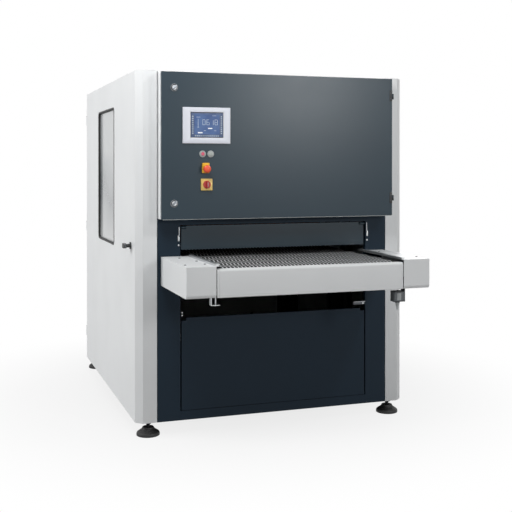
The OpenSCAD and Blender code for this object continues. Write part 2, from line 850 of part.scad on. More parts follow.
// Mounting plate on studs inside the control housing
plate_stand = 18;
plate_side_gap = 80;
plate_end_gap = 60;
plate_y0 = housing_rear - plate_stand;
plate_x0 = housing_x - plate_side_gap;
plate_z0 = housing_z + plate_end_gap;
plate_z1 = housing_top - plate_end_gap;
module mounting_plate() {
    color("gainsboro") {
        block([-plate_x0, plate_x0], [plate_y0, plate_y0 + plate_t], [plate_z0, plate_z1]);
        for (x = [-plate_x0, plate_x0 - fold_d], z = [plate_z0, plate_z1 - fold_d])
            block([x, x + fold_d], [plate_y0 + plate_t, housing_rear - shell_t], [z, z + fold_d]);
    }
}

// Inverters, contactors, terminals and wiring ducts on the mounting plate
inverter_w = 130;
inverter_h = 230;
inverter_t = 140;
duct_w = 40;
duct_h = 50;
relay_w = 45;
relay_h = 85;
relay_t = 75;
module switchgear() {
    inverter_z = plate_z1 - 3 * duct_w - inverter_h;
    relay_z = plate_z0 + 3 * duct_w;
    rows = [plate_z0 + duct_w, inverter_z - duct_w - plate_t, plate_z1 - 2 * duct_w];
    pitch = inverter_w + duct_w;
    color("lightgray") {
        for (z = rows) block([-plate_x0 + duct_w, plate_x0 - duct_w], [plate_y0 - duct_h, plate_y0],
            [z, z + duct_w]);
        for (i = [0:3]) {
            x = -plate_x0 + duct_w + i * pitch;
            block([x, x + inverter_w], [plate_y0 - inverter_t, plate_y0],
                [inverter_z, inverter_z + inverter_h]);
        }
        for (i = [0:11]) {
            x = -plate_x0 + duct_w + i * (relay_w + step);
            block([x, x + relay_w], [plate_y0 - relay_t, plate_y0], [relay_z, relay_z + relay_h]);
        }
    }
}

module mains_gland() {
    color("black") difference() {
        union() {
            rod_y(gland_x, [half_d, half_d + gland_l], gland_z, gland_body_r);
            translate([gland_x, half_d + gland_l / 3, gland_z]) rotate([90, 0, 0])
                cylinder(r = gland_nut_r, h = gland_l / 3, $fn = 6);
        }
        rod_y(gland_x, [half_d - over, half_d + gland_l + over], gland_z, gland_bore_r);
    }
}

// Conveyor beams on their legs, tied by cross bars under the bed
module conveyor_frame() {
    color("slategray") {
        both_x() difference() {
            block([beam_in, beam_in + beam_t], [-beam_end, beam_end], [beam_z, beam_z + beam_h]);
            for (y = [-roller_y, roller_y]) rod_x([beam_in - over, beam_in + beam_t + over], y, roller_z,
                roller_shaft_r + shaft_gap);
        }
        both_x() for (y = [-station_y, station_y])
            tube_along("z", [beam_in, beam_in + leg_w], [y - tube / 2, y + tube / 2], [beam_top, beam_z]);
        for (y = [-station_y, 0, station_y])
            tube_along("x", [-beam_in, beam_in], [y - leg_w / 2, y + leg_w / 2], [beam_z + leg_w / 4,
                beam_z + leg_w]);
    }
}
module slider_bed() {
    end = roller_y - belt_in_r - cover_r;
    color("silver") block([-beam_in - beam_t, beam_in + beam_t], [-end, end], [bed_z - bed_t, bed_z]);
}

// Endless band round two equal rollers
module band_outline(r, span) {
    circle(r);
    translate([span, 0]) circle(r);
    translate([0, -r]) square([span, 2 * r]);
}
module conveyor_belt() {
    color("#3a3b3d") translate([-belt_w / 2, -roller_y, roller_z]) rotate([90, 0, 90])
        linear_extrude(belt_w) difference() {
            band_outline(belt_in_r + belt_t, 2 * roller_y);
            band_outline(belt_in_r, 2 * roller_y);
        }
}
module roller_bearings() {
    x = beam_in + beam_t;
    color("dimgray") both_x() for (y = [-roller_y, roller_y]) difference() {
        block([x, x + bearing_t], [y - bearing_half, y + bearing_half],
            [roller_z - bearing_half, roller_z + bearing_half]);
        rod_x([x - over, x + bearing_t + over], y, roller_z, roller_shaft_r + play);
    }
}
module conveyor_roller(y) {
    color("silver") {
        rod_x([-roller_x, roller_x], y, roller_z, roller_r);
        rod_x([-shaft_end, shaft_end], y, roller_z, roller_shaft_r);
    }
}
module idler_roller() {
    conveyor_roller(-roller_y);
}
module drive_roller() {
    conveyor_roller(roller_y);
}

// Side profile of a table cover, with its lower front edge rounded
module cover_profile(inset) {
    i = inset;
    r = cover_r - i;
    l = table_front - half_d;
    difference() {
        translate([i, i]) square([l - i + (i > 0 ? over : 0), cover_h - 2 * i]);
        translate([i, i]) difference() {
            square(r);
            translate([r, r]) circle(r);
        }
    }
}
// Table cover on the right at the infeed: open to the cabinet and to the belt
module table_cover() {
    difference() {
        translate([cover_in, -table_front, cover_z]) rotate([90, 0, 90])
            linear_extrude(cover_w) cover_profile(0);
        translate([cover_in - over, -table_front, cover_z]) rotate([90, 0, 90])
            linear_extrude(cover_w - shell_t + over) cover_profile(shell_t);
        block([cover_in - over, beam_in + 2 * beam_t], [-table_front + cover_r, -half_d + over],
            [cover_z - over, cover_z + shell_t + over]);
    }
}
module infeed_cover_left() {
    color("whitesmoke") flip_x(-1) table_cover();
}
module infeed_cover_right() {
    color("whitesmoke") table_cover();
}
// Outfeed: two side covers and the apron between them
module outfeed_covers() {
    color("whitesmoke") {
        both_x() flip_y(-1) table_cover();
        block([-cover_in + step, cover_in - step], [table_front - shell_t, table_front],
            [trip_bottom, trip_top]);
        block([-cover_in + step, cover_in - step], [table_front - trip_return, table_front],
            [trip_bottom - shell_t, trip_bottom]);
        both_x() block([cover_in - fold_d, beam_in + beam_t + shell_t], [table_front - 2 * shell_t,
            table_front - shell_t], [trip_bottom, trip_top]);
    }
}
module side_guides() {
    end = table_front - step;
    color("lightgray") both_x() both_y()
        block([guide_x, guide_x + guide_w], [-end, -half_d - col_fold], [table_z, table_z + guide_h]);
}
// Gearbox on the drive roller's shaft, with its motor lying along the beam
gearbox_r = 50;
gearmotor_l = 200;
module conveyor_gearmotor() {
    x = beam_in + beam_t + bearing_t;
    color("steelblue") {
        rod_x([x, cover_out - shell_t - step], roller_y, roller_z, gearbox_r);
        block([x, x + gearbox_r], [roller_y - gearmotor_l, roller_y],
            [roller_z - bearing_half, roller_z + bearing_half]);
    }
}

// Trip bar: the front cover between the side covers, on two guide rods
module trip_bar() {
    f = -table_front;
    color("whitesmoke") {
        block([-trip_half + trip_end, trip_half - trip_end], [f, f + shell_t], [trip_bottom, trip_top]);
        both_x() block([trip_half - trip_end - step, trip_half], [f + step, f + step + shell_t],
            [trip_bottom - step, trip_top - step]);
        block([-trip_half, trip_half], [f, f + trip_lip], [trip_top - shell_t, trip_top]);
        block([-trip_half, trip_half], [f, f + trip_return], [trip_bottom - shell_t, trip_bottom]);
        both_x() {
            block([trip_half - fold_d, trip_half], [f, -ear_y], [trip_ear_z, trip_ear_z + trip_ear_h]);
            block([trip_half - fold_d, trip_rod_x + trip_rod_r], [-ear_y, -ear_y + trip_ear_t],
                [trip_ear_z, trip_ear_z + trip_ear_h]);
            rod_y(trip_rod_x, [-ear_y, -ear_y + trip_rod_l], trip_ear_z + trip_ear_h / 2, trip_rod_r);
        }
    }
}
// Guide lugs on the beams, and the stop bracket with its pin at the left
bracket_drop = 38;
bracket_reach = 43;
module trip_bar_bracket() {
    lug_y = -ear_y + trip_ear_t + trip_travel + step;
    color("lightgray") {
        both_x() difference() {
            block([beam_in - lug_w, beam_in], [lug_y, lug_y + lug_l], [trip_ear_z, trip_ear_z + trip_ear_h]);
            rod_y(trip_rod_x, [lug_y - over, lug_y + lug_l + over], trip_ear_z + trip_ear_h / 2,
                trip_rod_r + play);
        }
        y = [-beam_end + step, -beam_end + leg_w / 2];
        foot_z = cover_z - bracket_drop;
        stop_x0 = -beam_in + bracket_reach;
        block([-beam_in, -beam_in + plate_t], y, [foot_z, beam_z + cover_r]);
        block([-beam_in, stop_x0], y, [foot_z, foot_z + plate_t]);
        rod_z(stop_x0 - cover_r, -beam_end + leg_w / 4, [foot_z - plate_t, trip_bottom - shell_t - air],
            plate_t);
    }
}
// Limit switch under the table with its cable gland
switch_box = [57, 38, 53];
switch_box_drop = 13;
gland_cone = [8, 12, 25];
cable_stub_r = 5;
cable_stub_l = 17;
button_proud = 4;
module trip_switch() {
    y = [-beam_end + step, -beam_end + step + switch_box[1]];
    z = [cover_z - switch_box_drop - switch_box[2], cover_z - switch_box_drop];
    x = [beam_in - plate_t - switch_box[0], beam_in - plate_t];
    cone_z = z[0] + step - gland_cone[2];
    mid = (x[0] + x[1]) / 2;
    color("gray") {
        block([beam_in - plate_t, beam_in], y, [z[0], beam_z + cover_r]);
        plate_y(x, y, z, plate_t);
        translate([mid, (y[0] + y[1]) / 2, cone_z])
            cylinder(r1 = gland_cone[0], r2 = gland_cone[1], h = gland_cone[2]);
        rod_z(mid, (y[0] + y[1]) / 2, [cone_z + step - cable_stub_l, cone_z + step], cable_stub_r);
        rod_y(mid, [y[0] - button_proud, y[0] + step], z[1] - cover_r, cable_stub_r);
    }
}

// Lifting columns: fixed tubes on the base, and the rams that carry the head
module lifting_columns() {
    color("dimgray") both_x() both_y() difference() {
        rod_z(ram_x, station_y, [beam_top, column_top], ram_r + column_wall);
        rod_z(ram_x, station_y, [beam_top + 2 * column_wall, column_top + over], ram_r + play);
    }
}
module lifting_rams() {
    color("silver") both_x() both_y() rod_z(ram_x, station_y, [ram_low, head_z], ram_r);
}

// Head frame: beams on the rams, cross beams and two plates with the tool bores
module head_frame() {
    w = head_beam_w;
    plate_x1 = head_plate_x + head_plate_t;
    color("slategray") difference() {
        union() {
            both_x() block([head_x - w, head_x], [-head_half_l, head_half_l], [head_z, head_z + head_beam_h]);
            both_y() block([-head_x, head_x], [head_half_l - head_beam_h, head_half_l],
                [head_z, head_z + head_beam_h]);
            both_x() {
                block([head_plate_x, plate_x1], [-head_half_l, head_half_l],
                    [head_plate_z, head_z + head_beam_h]);
                block([head_plate_x, plate_x1], [drum_y - mast_w / 2, drum_y + mast_w / 2],
                    [head_z, mast_top]);
            }
        }
        both_x() {
            wall = [head_plate_x - over, plate_x1 + over];
            rod_x(wall, drum_y, drum_z, tool_shaft_r + play);
            rod_x(wall, drum_y, tension_z, tool_shaft_r + play);
            rod_x(wall, brush_y, brush_z, tool_shaft_r + play);
        }
    }
}
module head_motors() {
    x = head_plate_x + head_plate_t;
    tools = [[drum_y, drum_z], [brush_y, brush_z]];
    color("steelblue") for (p = tools) {
        rod_x([x, x + motor_l], p[0], p[1], motor_r);
        rod_x([x, x + head_plate_t], p[0], p[1], motor_r + step);
    }
}
module tool_roller(y, z, r) {
    rod_x([-tool_half, tool_half], y, z, r);
    rod_x([-shaft_stop, shaft_stop], y, z, tool_shaft_r);
}
module contact_drum() {
    color("#303030") tool_roller(drum_y, drum_z, drum_r);
}
module tension_roller() {
    color("silver") tool_roller(drum_y, tension_z, tension_r);
}
module abrasive_belt() {
    color("sienna") translate([-abrasive_w / 2, drum_y, drum_z]) rotate([90, -90, 90])
        linear_extrude(abrasive_w) difference() {
            hull() {
                circle(drum_r + belt_air + abrasive_t);
                translate([belt_centres, 0]) circle(tension_r + belt_air + abrasive_t);
            }
            hull() {
                circle(drum_r + belt_air);
                translate([belt_centres, 0]) circle(tension_r + belt_air);
            }
        }
}
module brush_roller() {
    color("darkgoldenrod") tool_roller(brush_y, brush_z, brush_r);
}

// Levelling foot: pad, cone, lock nut and spindle
pad_t = 12;
cone_t = 32;
nut_t = 14;
pad_bevel = 4;
module levelling_foot(side, end) {
    x = side * (frame_x - tube / 2);
    y = end < 0 ? frame_front + foot_inset : frame_rear - foot_inset;
    color("black") {
        rod_z(x, y, [0, pad_t], foot_r);
        translate([x, y, pad_t]) cylinder(r1 = foot_r - pad_bevel, r2 = foot_hub_r, h = cone_t);
        rod_z(x, y, [pad_t, beam_top - tube_wall - foot_travel / 2], foot_spindle_r);
        translate([x, y, floor_gap - nut_t - air]) cylinder(r = 2 * foot_spindle_r, h = nut_t, $fn = 6);
    }
}
module foot_front_left() {
    levelling_foot(-1, -1);
}
module foot_front_right() {
    levelling_foot(1, -1);
}
module foot_rear_left() {
    levelling_foot(-1, 1);
}
module foot_rear_right() {
    levelling_foot(1, 1);
}

// Screws on the covers and panels, the stops beside the flap and the catch plate above the lower panel
cover_screws = [[71.5, 105], [26.5, 270], [24.5, 414], [123.5, 427]];
strip_w = 9;
strip_span = [70, -4];
strip_screw_drop = 42;
catch_l = 70;
catch_h = 16;
rear_screw_low = 127;
rear_screw_steps = 3;
module fasteners() {
    color("silver") {
        both_x() for (p = cover_screws)
            rod_z(cover_in + p[0], -half_d - p[1], [table_z, table_z + screw_h], screw_r);
        both_x() {
            block([col_in, col_in + strip_w], [-half_d - plate_t, -half_d],
                [flap_axis_z - strip_span[0], flap_axis_z - strip_span[1]]);
            rod_y(col_in + strip_w / 2, [-half_d - plate_t - screw_h, -half_d - plate_t],
                flap_axis_z - strip_screw_drop, screw_r - step);
        }
        catch_z = lower_panel_top + fold_d;
        block([col_in - catch_l, col_in], [-half_d + plate_t, -half_d + 2 * plate_t],
            [catch_z, catch_z + catch_h]);
        rear_pitch = (frame_top - floor_gap - 2 * rear_screw_low) / rear_screw_steps;
        for (x = [-rear_x() + fold_d, rear_x() - fold_d], i = [0:rear_screw_steps])
            rod_y(x, [half_d, half_d + screw_h], floor_gap + rear_screw_low + i * rear_pitch, screw_r);
    }
}

machine_frame();
roof_panel();
rear_panel();
rear_corner_posts();
extraction_spigot();
front_columns();
inlet_soffit();
front_plinth();
control_housing();
mounting_plate();
switchgear();
mains_gland();
conveyor_frame();
slider_bed();
conveyor_belt();
roller_bearings();
infeed_cover_left();
infeed_cover_right();
outfeed_covers();
side_guides();
conveyor_gearmotor();
trip_switch();
trip_bar_bracket();
lifting_columns();
hinge_pins();
fasteners();
cabinet_door();
operator_panel();
operator_display();
button_collars();
estop_housing();
switch_plate();
upper_door_lock();
lower_door_lock();
estop_mushroom();
stop_button();
start_button();
main_switch_handle();
left_side_door();
window_seal();
window_pane();
left_door_latch();
right_side_door();
right_door_latch();
inlet_flap();
trip_bar();
lower_front_panel();
drive_roller();
idler_roller();
head_frame();
head_motors();
lifting_rams();
contact_drum();
tension_roller();
abrasive_belt();
brush_roller();
foot_front_left();
foot_front_right();
foot_rear_left();
foot_rear_right();
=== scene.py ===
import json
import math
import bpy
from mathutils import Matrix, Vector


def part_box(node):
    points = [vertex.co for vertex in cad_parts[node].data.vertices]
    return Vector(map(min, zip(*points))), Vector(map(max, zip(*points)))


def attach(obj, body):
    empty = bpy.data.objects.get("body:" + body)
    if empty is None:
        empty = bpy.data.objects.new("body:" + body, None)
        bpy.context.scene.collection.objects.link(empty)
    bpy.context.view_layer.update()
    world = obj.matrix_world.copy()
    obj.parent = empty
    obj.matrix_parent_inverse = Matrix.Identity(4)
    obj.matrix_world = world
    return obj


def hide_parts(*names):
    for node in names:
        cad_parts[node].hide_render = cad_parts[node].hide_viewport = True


bl_info = {
    "name": "Sheet metal deburring machine",
    "version": (1, 0, 0),
    "blender": (4, 5, 0),
    "location": "View3D > Sidebar > Deburrer",
    "description": "Finishes the packed deburring machine: paint, rubber, glass, controls, belt, tools and studio",
    "category": "Object",
}

import bmesh
import bpy
import numpy as np

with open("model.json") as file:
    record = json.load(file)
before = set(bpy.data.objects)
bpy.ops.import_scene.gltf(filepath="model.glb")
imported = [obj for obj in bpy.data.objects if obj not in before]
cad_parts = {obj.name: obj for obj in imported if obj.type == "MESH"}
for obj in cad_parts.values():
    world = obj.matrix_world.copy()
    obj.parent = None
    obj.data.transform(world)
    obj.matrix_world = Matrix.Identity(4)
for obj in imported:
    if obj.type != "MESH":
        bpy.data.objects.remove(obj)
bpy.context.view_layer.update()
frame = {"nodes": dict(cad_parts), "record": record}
MM = 0.001
MATERIALS = {}


# ---------------------------------------------------------------- sizes and colours

class MachineColours(bpy.types.PropertyGroup):
    """Paints and plastics, as the sRGB hex values that a paint card gives."""
    shell: bpy.props.StringProperty(name="Shell paint", description="Powder coat of the cabinet", default="#E6E8E9")
    front: bpy.props.StringProperty(name="Front paint", description="Powder coat of door and panels", default="#233540")
    columns: bpy.props.StringProperty(name="Column paint", description="Powder coat of the columns", default="#1B2A36")
    table: bpy.props.StringProperty(name="Table paint", description="Powder coat of the feed table", default="#E2E4E5")
    inside: bpy.props.StringProperty(name="Frame paint", description="Paint of the inner frame", default="#0D0F11")
    motor: bpy.props.StringProperty(name="Motor paint", description="Enamel of the motors", default="#3F5B73")
    red: bpy.props.StringProperty(name="Signal red", description="Mushroom and handle", default="#D9301F")
    yellow: bpy.props.StringProperty(name="Signal yellow", description="Plates of the controls", default="#F5BC2C")


class MachineSizes(bpy.types.PropertyGroup):
    """Sizes of the finer forms, in metres."""
    rib_pitch: bpy.props.FloatProperty(name="Rib pitch", description="Distance between the belt's ribs",
                                       default=0.019, min=0.008, max=0.03, unit="LENGTH")
    rib_height: bpy.props.FloatProperty(name="Rib height", description="Height of the belt's ribs",
                                        default=0.0009, min=0.0005, max=0.003, unit="LENGTH")
    wave: bpy.props.FloatProperty(name="Zigzag length", description="Length of one zigzag of the belt's ribs",
                                  default=0.16, min=0.06, max=0.3, unit="LENGTH")
    sway: bpy.props.FloatProperty(name="Zigzag width", description="How far a rib sways to either side",
                                  default=0.0085, min=0.001, max=0.01, unit="LENGTH")
    thread_pitch: bpy.props.FloatProperty(name="Thread pitch", description="Pitch of the foot spindles",
                                          default=0.0025, min=0.0015, max=0.004, unit="LENGTH")


def colours():
    return bpy.context.scene.machine_colours


def sizes():
    return bpy.context.scene.machine_sizes


# ---------------------------------------------------------------- shapes

def box_of(node):
    """Lowest and highest corner of a CAD node as two numpy rows."""
    lo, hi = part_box(node)
    return np.array(lo, float), np.array(hi, float)


def skin(grid, wrap_u=False, wrap_v=False):
    """Points P(u, v) on a grid become a surface: each quad joins (i, j), (i+1, j), (i+1, j+1) and (i, j+1)."""
    nu, nv = grid.shape[:2]
    i, j = np.meshgrid(np.arange(nu if wrap_u else nu - 1), np.arange(nv if wrap_v else nv - 1), indexing="ij")
    k, m = (i + 1) % nu, (j + 1) % nv
    quads = np.stack([i * nv + j, k * nv + j, k * nv + m, i * nv + m], -1).reshape(-1, 4)
    return grid.reshape(-1, 3), quads.tolist()


def axis_basis(axis):
    """Two directions square to a unit axis, then the axis itself, as columns."""
    w = np.array(axis, float)
    u = np.cross(w, [0, 0, 1]) if abs(w[2]) < 0.9 else np.array([1.0, 0, 0])
    u /= np.linalg.norm(u)
    return np.stack([u, np.cross(w, u), w], 1)


def turned(profile, centre, axis, count=48, flute=0.0, lobes=0):
    """Turned form: P(h, a) = centre + r(h)(1 + flute cos(lobes a))(cos a, sin a) + h along the axis."""
    r, h = np.array(profile, float).T
    a = np.linspace(0, 2 * np.pi, count, endpoint=False)
    rr = r[:, None] * (1 + flute * np.cos(lobes * a))[None, :]
    local = np.stack([rr * np.cos(a), rr * np.sin(a), np.repeat(h[:, None], count, 1)], -1)
    return skin(np.array(centre) + local @ axis_basis(axis).T, wrap_v=True)


def bars(low, high):
    """Closed boxes between rows of low and high corners, all corners worked out in one array."""
    low, high = np.atleast_2d(low).astype(float), np.atleast_2d(high).astype(float)
    c = np.array([[0, 0, 0], [1, 0, 0], [1, 1, 0], [0, 1, 0], [0, 0, 1], [1, 0, 1], [1, 1, 1], [0, 1, 1]], float)
    pts = low[:, None] * (1 - c) + high[:, None] * c
    f = np.array([[0, 3, 2, 1], [4, 5, 6, 7], [0, 1, 5, 4], [1, 2, 6, 5], [2, 3, 7, 6], [3, 0, 4, 7]])
    faces = f[None] + 8 * np.arange(len(low))[:, None, None]
    return pts.reshape(-1, 3), faces.reshape(-1, 4).tolist()


def round_rect(w, h, r):
    """Outline of a w by h rectangle with corner radius r, centred: each corner is r(cos a, sin a) from its centre."""
    steps = 8
    a = np.linspace(0, np.pi / 2, steps)
    turn = np.concatenate([a, a + np.pi / 2, a + np.pi, a + 3 * np.pi / 2])
    cx = np.repeat([1, -1, -1, 1], steps) * (w / 2 - r)
    cy = np.repeat([1, 1, -1, -1], steps) * (h / 2 - r)
    return np.stack([cx + r * np.cos(turn), cy + r * np.sin(turn)], 1)


def carried(w, h, r, profile, centre, axis, up=(0, 0, 1), caps=False):
    """Frame or plate: a profile of (inset, height) rows carried round a rounded rectangle; caps close its ends."""
    w_axis = np.array(axis, float)
    v_axis = np.array(up, float)
    u_axis = np.cross(v_axis, w_axis)
    rings = []
    for inset, height in profile:
        o = round_rect(w - 2 * inset, h - 2 * inset, max(r - inset, 0.1 * MM))
        rings.append(np.array(centre) + o[:, :1] * u_axis + o[:, 1:] * v_axis + height * w_axis)
    grid = np.array(rings)
    pts, faces = skin(grid, wrap_u=not caps, wrap_v=True)
    if caps:
        n = grid.shape[1]
        faces += [list(range(n)), list(range((len(rings) - 1) * n, len(rings) * n))]
    return pts, faces


def plate(low, high, r, bevel, axis=(0, -1, 0), up=(0, 0, 1)):
    """Rounded plate between two corners, its face towards the axis, with a small bevel on that face's edge."""
    low, high = np.array(low, float), np.array(high, float)
    w_axis, v_axis = np.array(axis, float), np.array(up, float)
    u_axis = np.cross(v_axis, w_axis)
    size = high - low
    w, h, d = (abs(size @ a) for a in (u_axis, v_axis, w_axis))
    back = (low + high) / 2 - w_axis * d / 2
    profile = [(0, 0), (0, d - bevel), (0.3 * bevel, d - 0.3 * bevel), (bevel, d)]
    return carried(w, h, r, profile, back, axis, up, caps=True)


def joined(parts):
    """Several (points, faces) pairs as one."""
    pts, faces, start = [], [], 0
    for p, f in parts:
        pts.append(np.asarray(p))
        faces += [[k + start for k in face] for face in f]
        start += len(p)
    return np.concatenate(pts), faces


def piece(name, parts, body, replaces=(), sharp=35.0):
    """Makes a mesh from (shape, finish) rows, closes its seams, turns its faces outward and seats it on a CAD body."""
    pts, faces = joined([shape for shape, _ in parts])
    finishes = list(dict.fromkeys(finish for _, finish in parts))
    which = np.concatenate([np.full(len(shape[1]), finishes.index(finish)) for shape, finish in parts])
    mesh = bpy.data.meshes.new(name)
    mesh.from_pydata(np.asarray(pts).tolist(), [], faces)
    mesh.polygons.foreach_set("material_index", which.tolist())
    bm = bmesh.new()
    bm.from_mesh(mesh)
    bmesh.ops.remove_doubles(bm, verts=bm.verts, dist=1e-7)
    bmesh.ops.dissolve_degenerate(bm, edges=bm.edges, dist=1e-8)
    bmesh.ops.recalc_face_normals(bm, faces=bm.faces)
    bm.to_mesh(mesh)
    bm.free()
    mesh.polygons.foreach_set("use_smooth", [True] * len(mesh.polygons))
    mesh.set_sharp_from_angle(angle=math.radians(sharp))
    obj = bpy.data.objects.new(name, mesh)
    bpy.context.scene.collection.objects.link(obj)
    for finish in finishes:
        mesh.materials.append(MATERIALS[finish])
    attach(obj, body)
    if replaces:
        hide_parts(*replaces)
    return obj


# ---------------------------------------------------------------- materials

def linear(hex_value):
    """sRGB hex to the linear values, with full alpha, that Blender's sockets take."""
    v = [int(hex_value[i:i + 2], 16) / 255 for i in (1, 3, 5)]
    return [c / 12.92 if c <= 0.04045 else ((c + 0.055) / 1.055) ** 2.4 for c in v] + [1.0]


def node(tree, kind, settings=None, links=None, **values):
    """Adds a node: settings are its own fields, values its sockets' numbers, links its sockets' sources."""
    n = tree.nodes.new(kind)
    for key, value in (settings or {}).items():
        setattr(n, key, value)
    for key, value in values.items():
        name = key.replace("_", " ")
        n.inputs[name].default_value = value
    for key, source in (links or {}).items():
        tree.links.new(source, n.inputs[key])
    return n


def start(name, hex_value, rough, metallic=0.0, **values):
    """An empty material with its shader, output and Object coordinates."""
    m = bpy.data.materials.new(name)
    m.use_nodes = True
    t = m.node_tree
    t.nodes.clear()
    shader = t.nodes.new("ShaderNodeBsdfPrincipled")
    out = t.nodes.new("ShaderNodeOutputMaterial")
    t.links.new(shader.outputs[0], out.inputs[0])
    shader.inputs["Base Color"].default_value = linear(hex_value)
    shader.inputs["Roughness"].default_value = rough
    shader.inputs["Metallic"].default_value = metallic
    for key, value in values.items():
        shader.inputs[key.replace("_", " ")].default_value = value
    coords = t.nodes.new("ShaderNodeTexCoord")
    MATERIALS[name] = m
    return m, t, shader, coords.outputs["Object"]


def noise(t, vector, size_mm, detail=3.0, rough=0.55, stretch=None):
    """Noise whose grains are about size_mm across, drawn out along an axis by stretch."""
    if stretch:
        vector = node(t, "ShaderNodeMapping", links={"Vector": vector}, Scale=stretch).outputs[0]
    return node(t, "ShaderNodeTexNoise", links={"Vector": vector}, Scale=1000.0 / size_mm, Detail=detail,
                Roughness=rough).outputs["Fac"]


def ramp(t, source, stops):
    """Colour ramp from (place, hex) rows."""
    n = node(t, "ShaderNodeValToRGB", links={"Fac": source})
    e = n.color_ramp.elements
    while len(e) < len(stops):
        e.new(0.5)
    for el, (place, value) in zip(e, stops):
        el.position = place
        el.color = linear(value)
    return n.outputs["Color"]


def spread(t, source, low, high):
    """Maps 0..1 to low..high."""
    return node(t, "ShaderNodeMapRange", links={"Value": source}, To_Min=low, To_Max=high).outputs[0]


def shade(hex_value, factor):
    """The same hue, lighter or darker by a factor, as hex."""
    v = [min(255, max(0, round(int(hex_value[i:i + 2], 16) * factor))) for i in (1, 3, 5)]
    return "#%02X%02X%02X" % tuple(v)


def bumped(t, shader, height, depth_mm, strength=0.6, soft_edge_mm=0.0):
    """Links a height to the shader's normal; soft_edge_mm rounds the look of sharp edges."""
    links = {"Height": height}
    if soft_edge_mm:
        links["Normal"] = node(t, "ShaderNodeBevel", {"samples": 4}, Radius=soft_edge_mm * MM).outputs[0]
    b = node(t, "ShaderNodeBump", links=links, Strength=strength, Distance=depth_mm * MM)
    t.links.new(b.outputs[0], shader.inputs["Normal"])


def powder_coat(name, hex_value, rough=0.42, grain_mm=2.2, soft_mm=1.5, gloss=0.5):
    """Polyester powder coat on folded sheet: satin, a fine orange peel, faint cloudiness and softly rounded folds."""
    m, t, s, obj = start(name, hex_value, rough, Specular_IOR_Level=gloss)
    cloud = noise(t, obj, 340, 2.0)
    fine = noise(t, obj, grain_mm, 2.0, 0.6)
    t.links.new(ramp(t, cloud, [(0.3, shade(hex_value, 0.985)), (0.7, shade(hex_value, 1.01))]), s.inputs["Base Color"])
    t.links.new(spread(t, noise(t, obj, 60, 3.0), rough - 0.02, rough + 0.03), s.inputs["Roughness"])
    bumped(t, s, fine, 0.06, 0.5, soft_mm)
    return m


def turned_metal(name, hex_value, rough, stretch, line_mm=0.9, soft_mm=0.6):
    """Machined or drawn metal: fine lines along one way, a little colour drift and bright soft edges."""
    m, t, s, obj = start(name, hex_value, rough, 1.0)
    lines = noise(t, obj, line_mm, 4.0, 0.7, stretch)
    t.links.new(ramp(t, lines, [(0.3, shade(hex_value, 0.88)), (0.7, shade(hex_value, 1.05))]), s.inputs["Base Color"])
    t.links.new(spread(t, lines, rough - 0.06, rough + 0.1), s.inputs["Roughness"])
    bumped(t, s, lines, 0.03, 0.4, soft_mm)
    return m


def zinc_plate(name, hex_value):
    """Galvanised or zinc-plated sheet: cool grey metal with faint spangles a few millimetres across."""
    m, t, s, obj = start(name, hex_value, 0.34, 1.0)
    cells = node(t, "ShaderNodeTexVoronoi", links={"Vector": obj}, Scale=1000.0 / 9).outputs["Distance"]
    t.links.new(ramp(t, cells, [(0.0, shade(hex_value, 0.9)), (0.6, shade(hex_value, 1.06))]), s.inputs["Base Color"])
    t.links.new(spread(t, noise(t, obj, 25), 0.28, 0.46), s.inputs["Roughness"])
    bumped(t, s, noise(t, obj, 3), 0.03, 0.4, 0.6)
    return m


def cast_skin(name, hex_value):
    """Sand-cast iron: dark, matt and pebbled at about a millimetre."""
    m, t, s, obj = start(name, hex_value, 0.62, 0.6)
    t.links.new(ramp(t, noise(t, obj, 30), [(0.3, shade(hex_value, 0.85)), (0.7, shade(hex_value, 1.12))]),
                s.inputs["Base Color"])
    bumped(t, s, noise(t, obj, 1.4, 4.0, 0.7), 0.3, 0.6, 1.0)
    return m


def moulded(name, hex_value, rough=0.42, grain_mm=0.8, coat=0.0, soft_mm=0.8):
    """Injection-moulded ABS or polyamide: even colour, a spark-eroded grain and softened corners."""
    m, t, s, obj = start(name, hex_value, rough, 0.0, Coat_Weight=coat)
    t.links.new(ramp(t, noise(t, obj, 22), [(0.3, shade(hex_value, 0.96)), (0.7, shade(hex_value, 1.03))]),
                s.inputs["Base Color"])
    t.links.new(spread(t, noise(t, obj, 6), rough - 0.04, rough + 0.07), s.inputs["Roughness"])
    bumped(t, s, noise(t, obj, grain_mm), 0.03, 0.35, soft_mm)
    return m


def rubber(name, hex_value, rough=0.7, dust=1.25, soft_mm=1.0):
    """Black nitrile rubber: matt, with a grey bloom of dust in patches."""
    m, t, s, obj = start(name, hex_value, rough)
    patches = noise(t, obj, 45, 5.0, 0.65)
    t.links.new(ramp(t, patches, [(0.35, hex_value), (0.8, shade(hex_value, dust))]), s.inputs["Base Color"])
    t.links.new(spread(t, patches, rough - 0.08, rough + 0.14), s.inputs["Roughness"])
    bumped(t, s, noise(t, obj, 1.6), 0.08, 0.5, soft_mm)
    return m


def ribbed_rubber(name, low, high):
    """Rubber of the conveyor's ribs, in patches between two given colours: on the rib crowns a near-white painted
    highlight that stands in for light on the rib tops, on the flanks black rubber with a grey bloom of dust; matt.
    """
    m, t, s, obj = start(name, low, 0.62, Specular_IOR_Level=0.3)
    # patches between the two colours: dust on the black flanks, a painted highlight on the pale crowns
    dust_and_highlight_patches = noise(t, obj, 24, 4.0, 0.7)
    t.links.new(ramp(t, dust_and_highlight_patches, [(0.25, low), (0.7, high)]), s.inputs["Base Color"])
    t.links.new(spread(t, noise(t, obj, 9), 0.5, 0.75), s.inputs["Roughness"])
    bumped(t, s, noise(t, obj, 1.5), 0.15, 0.6)
    return m


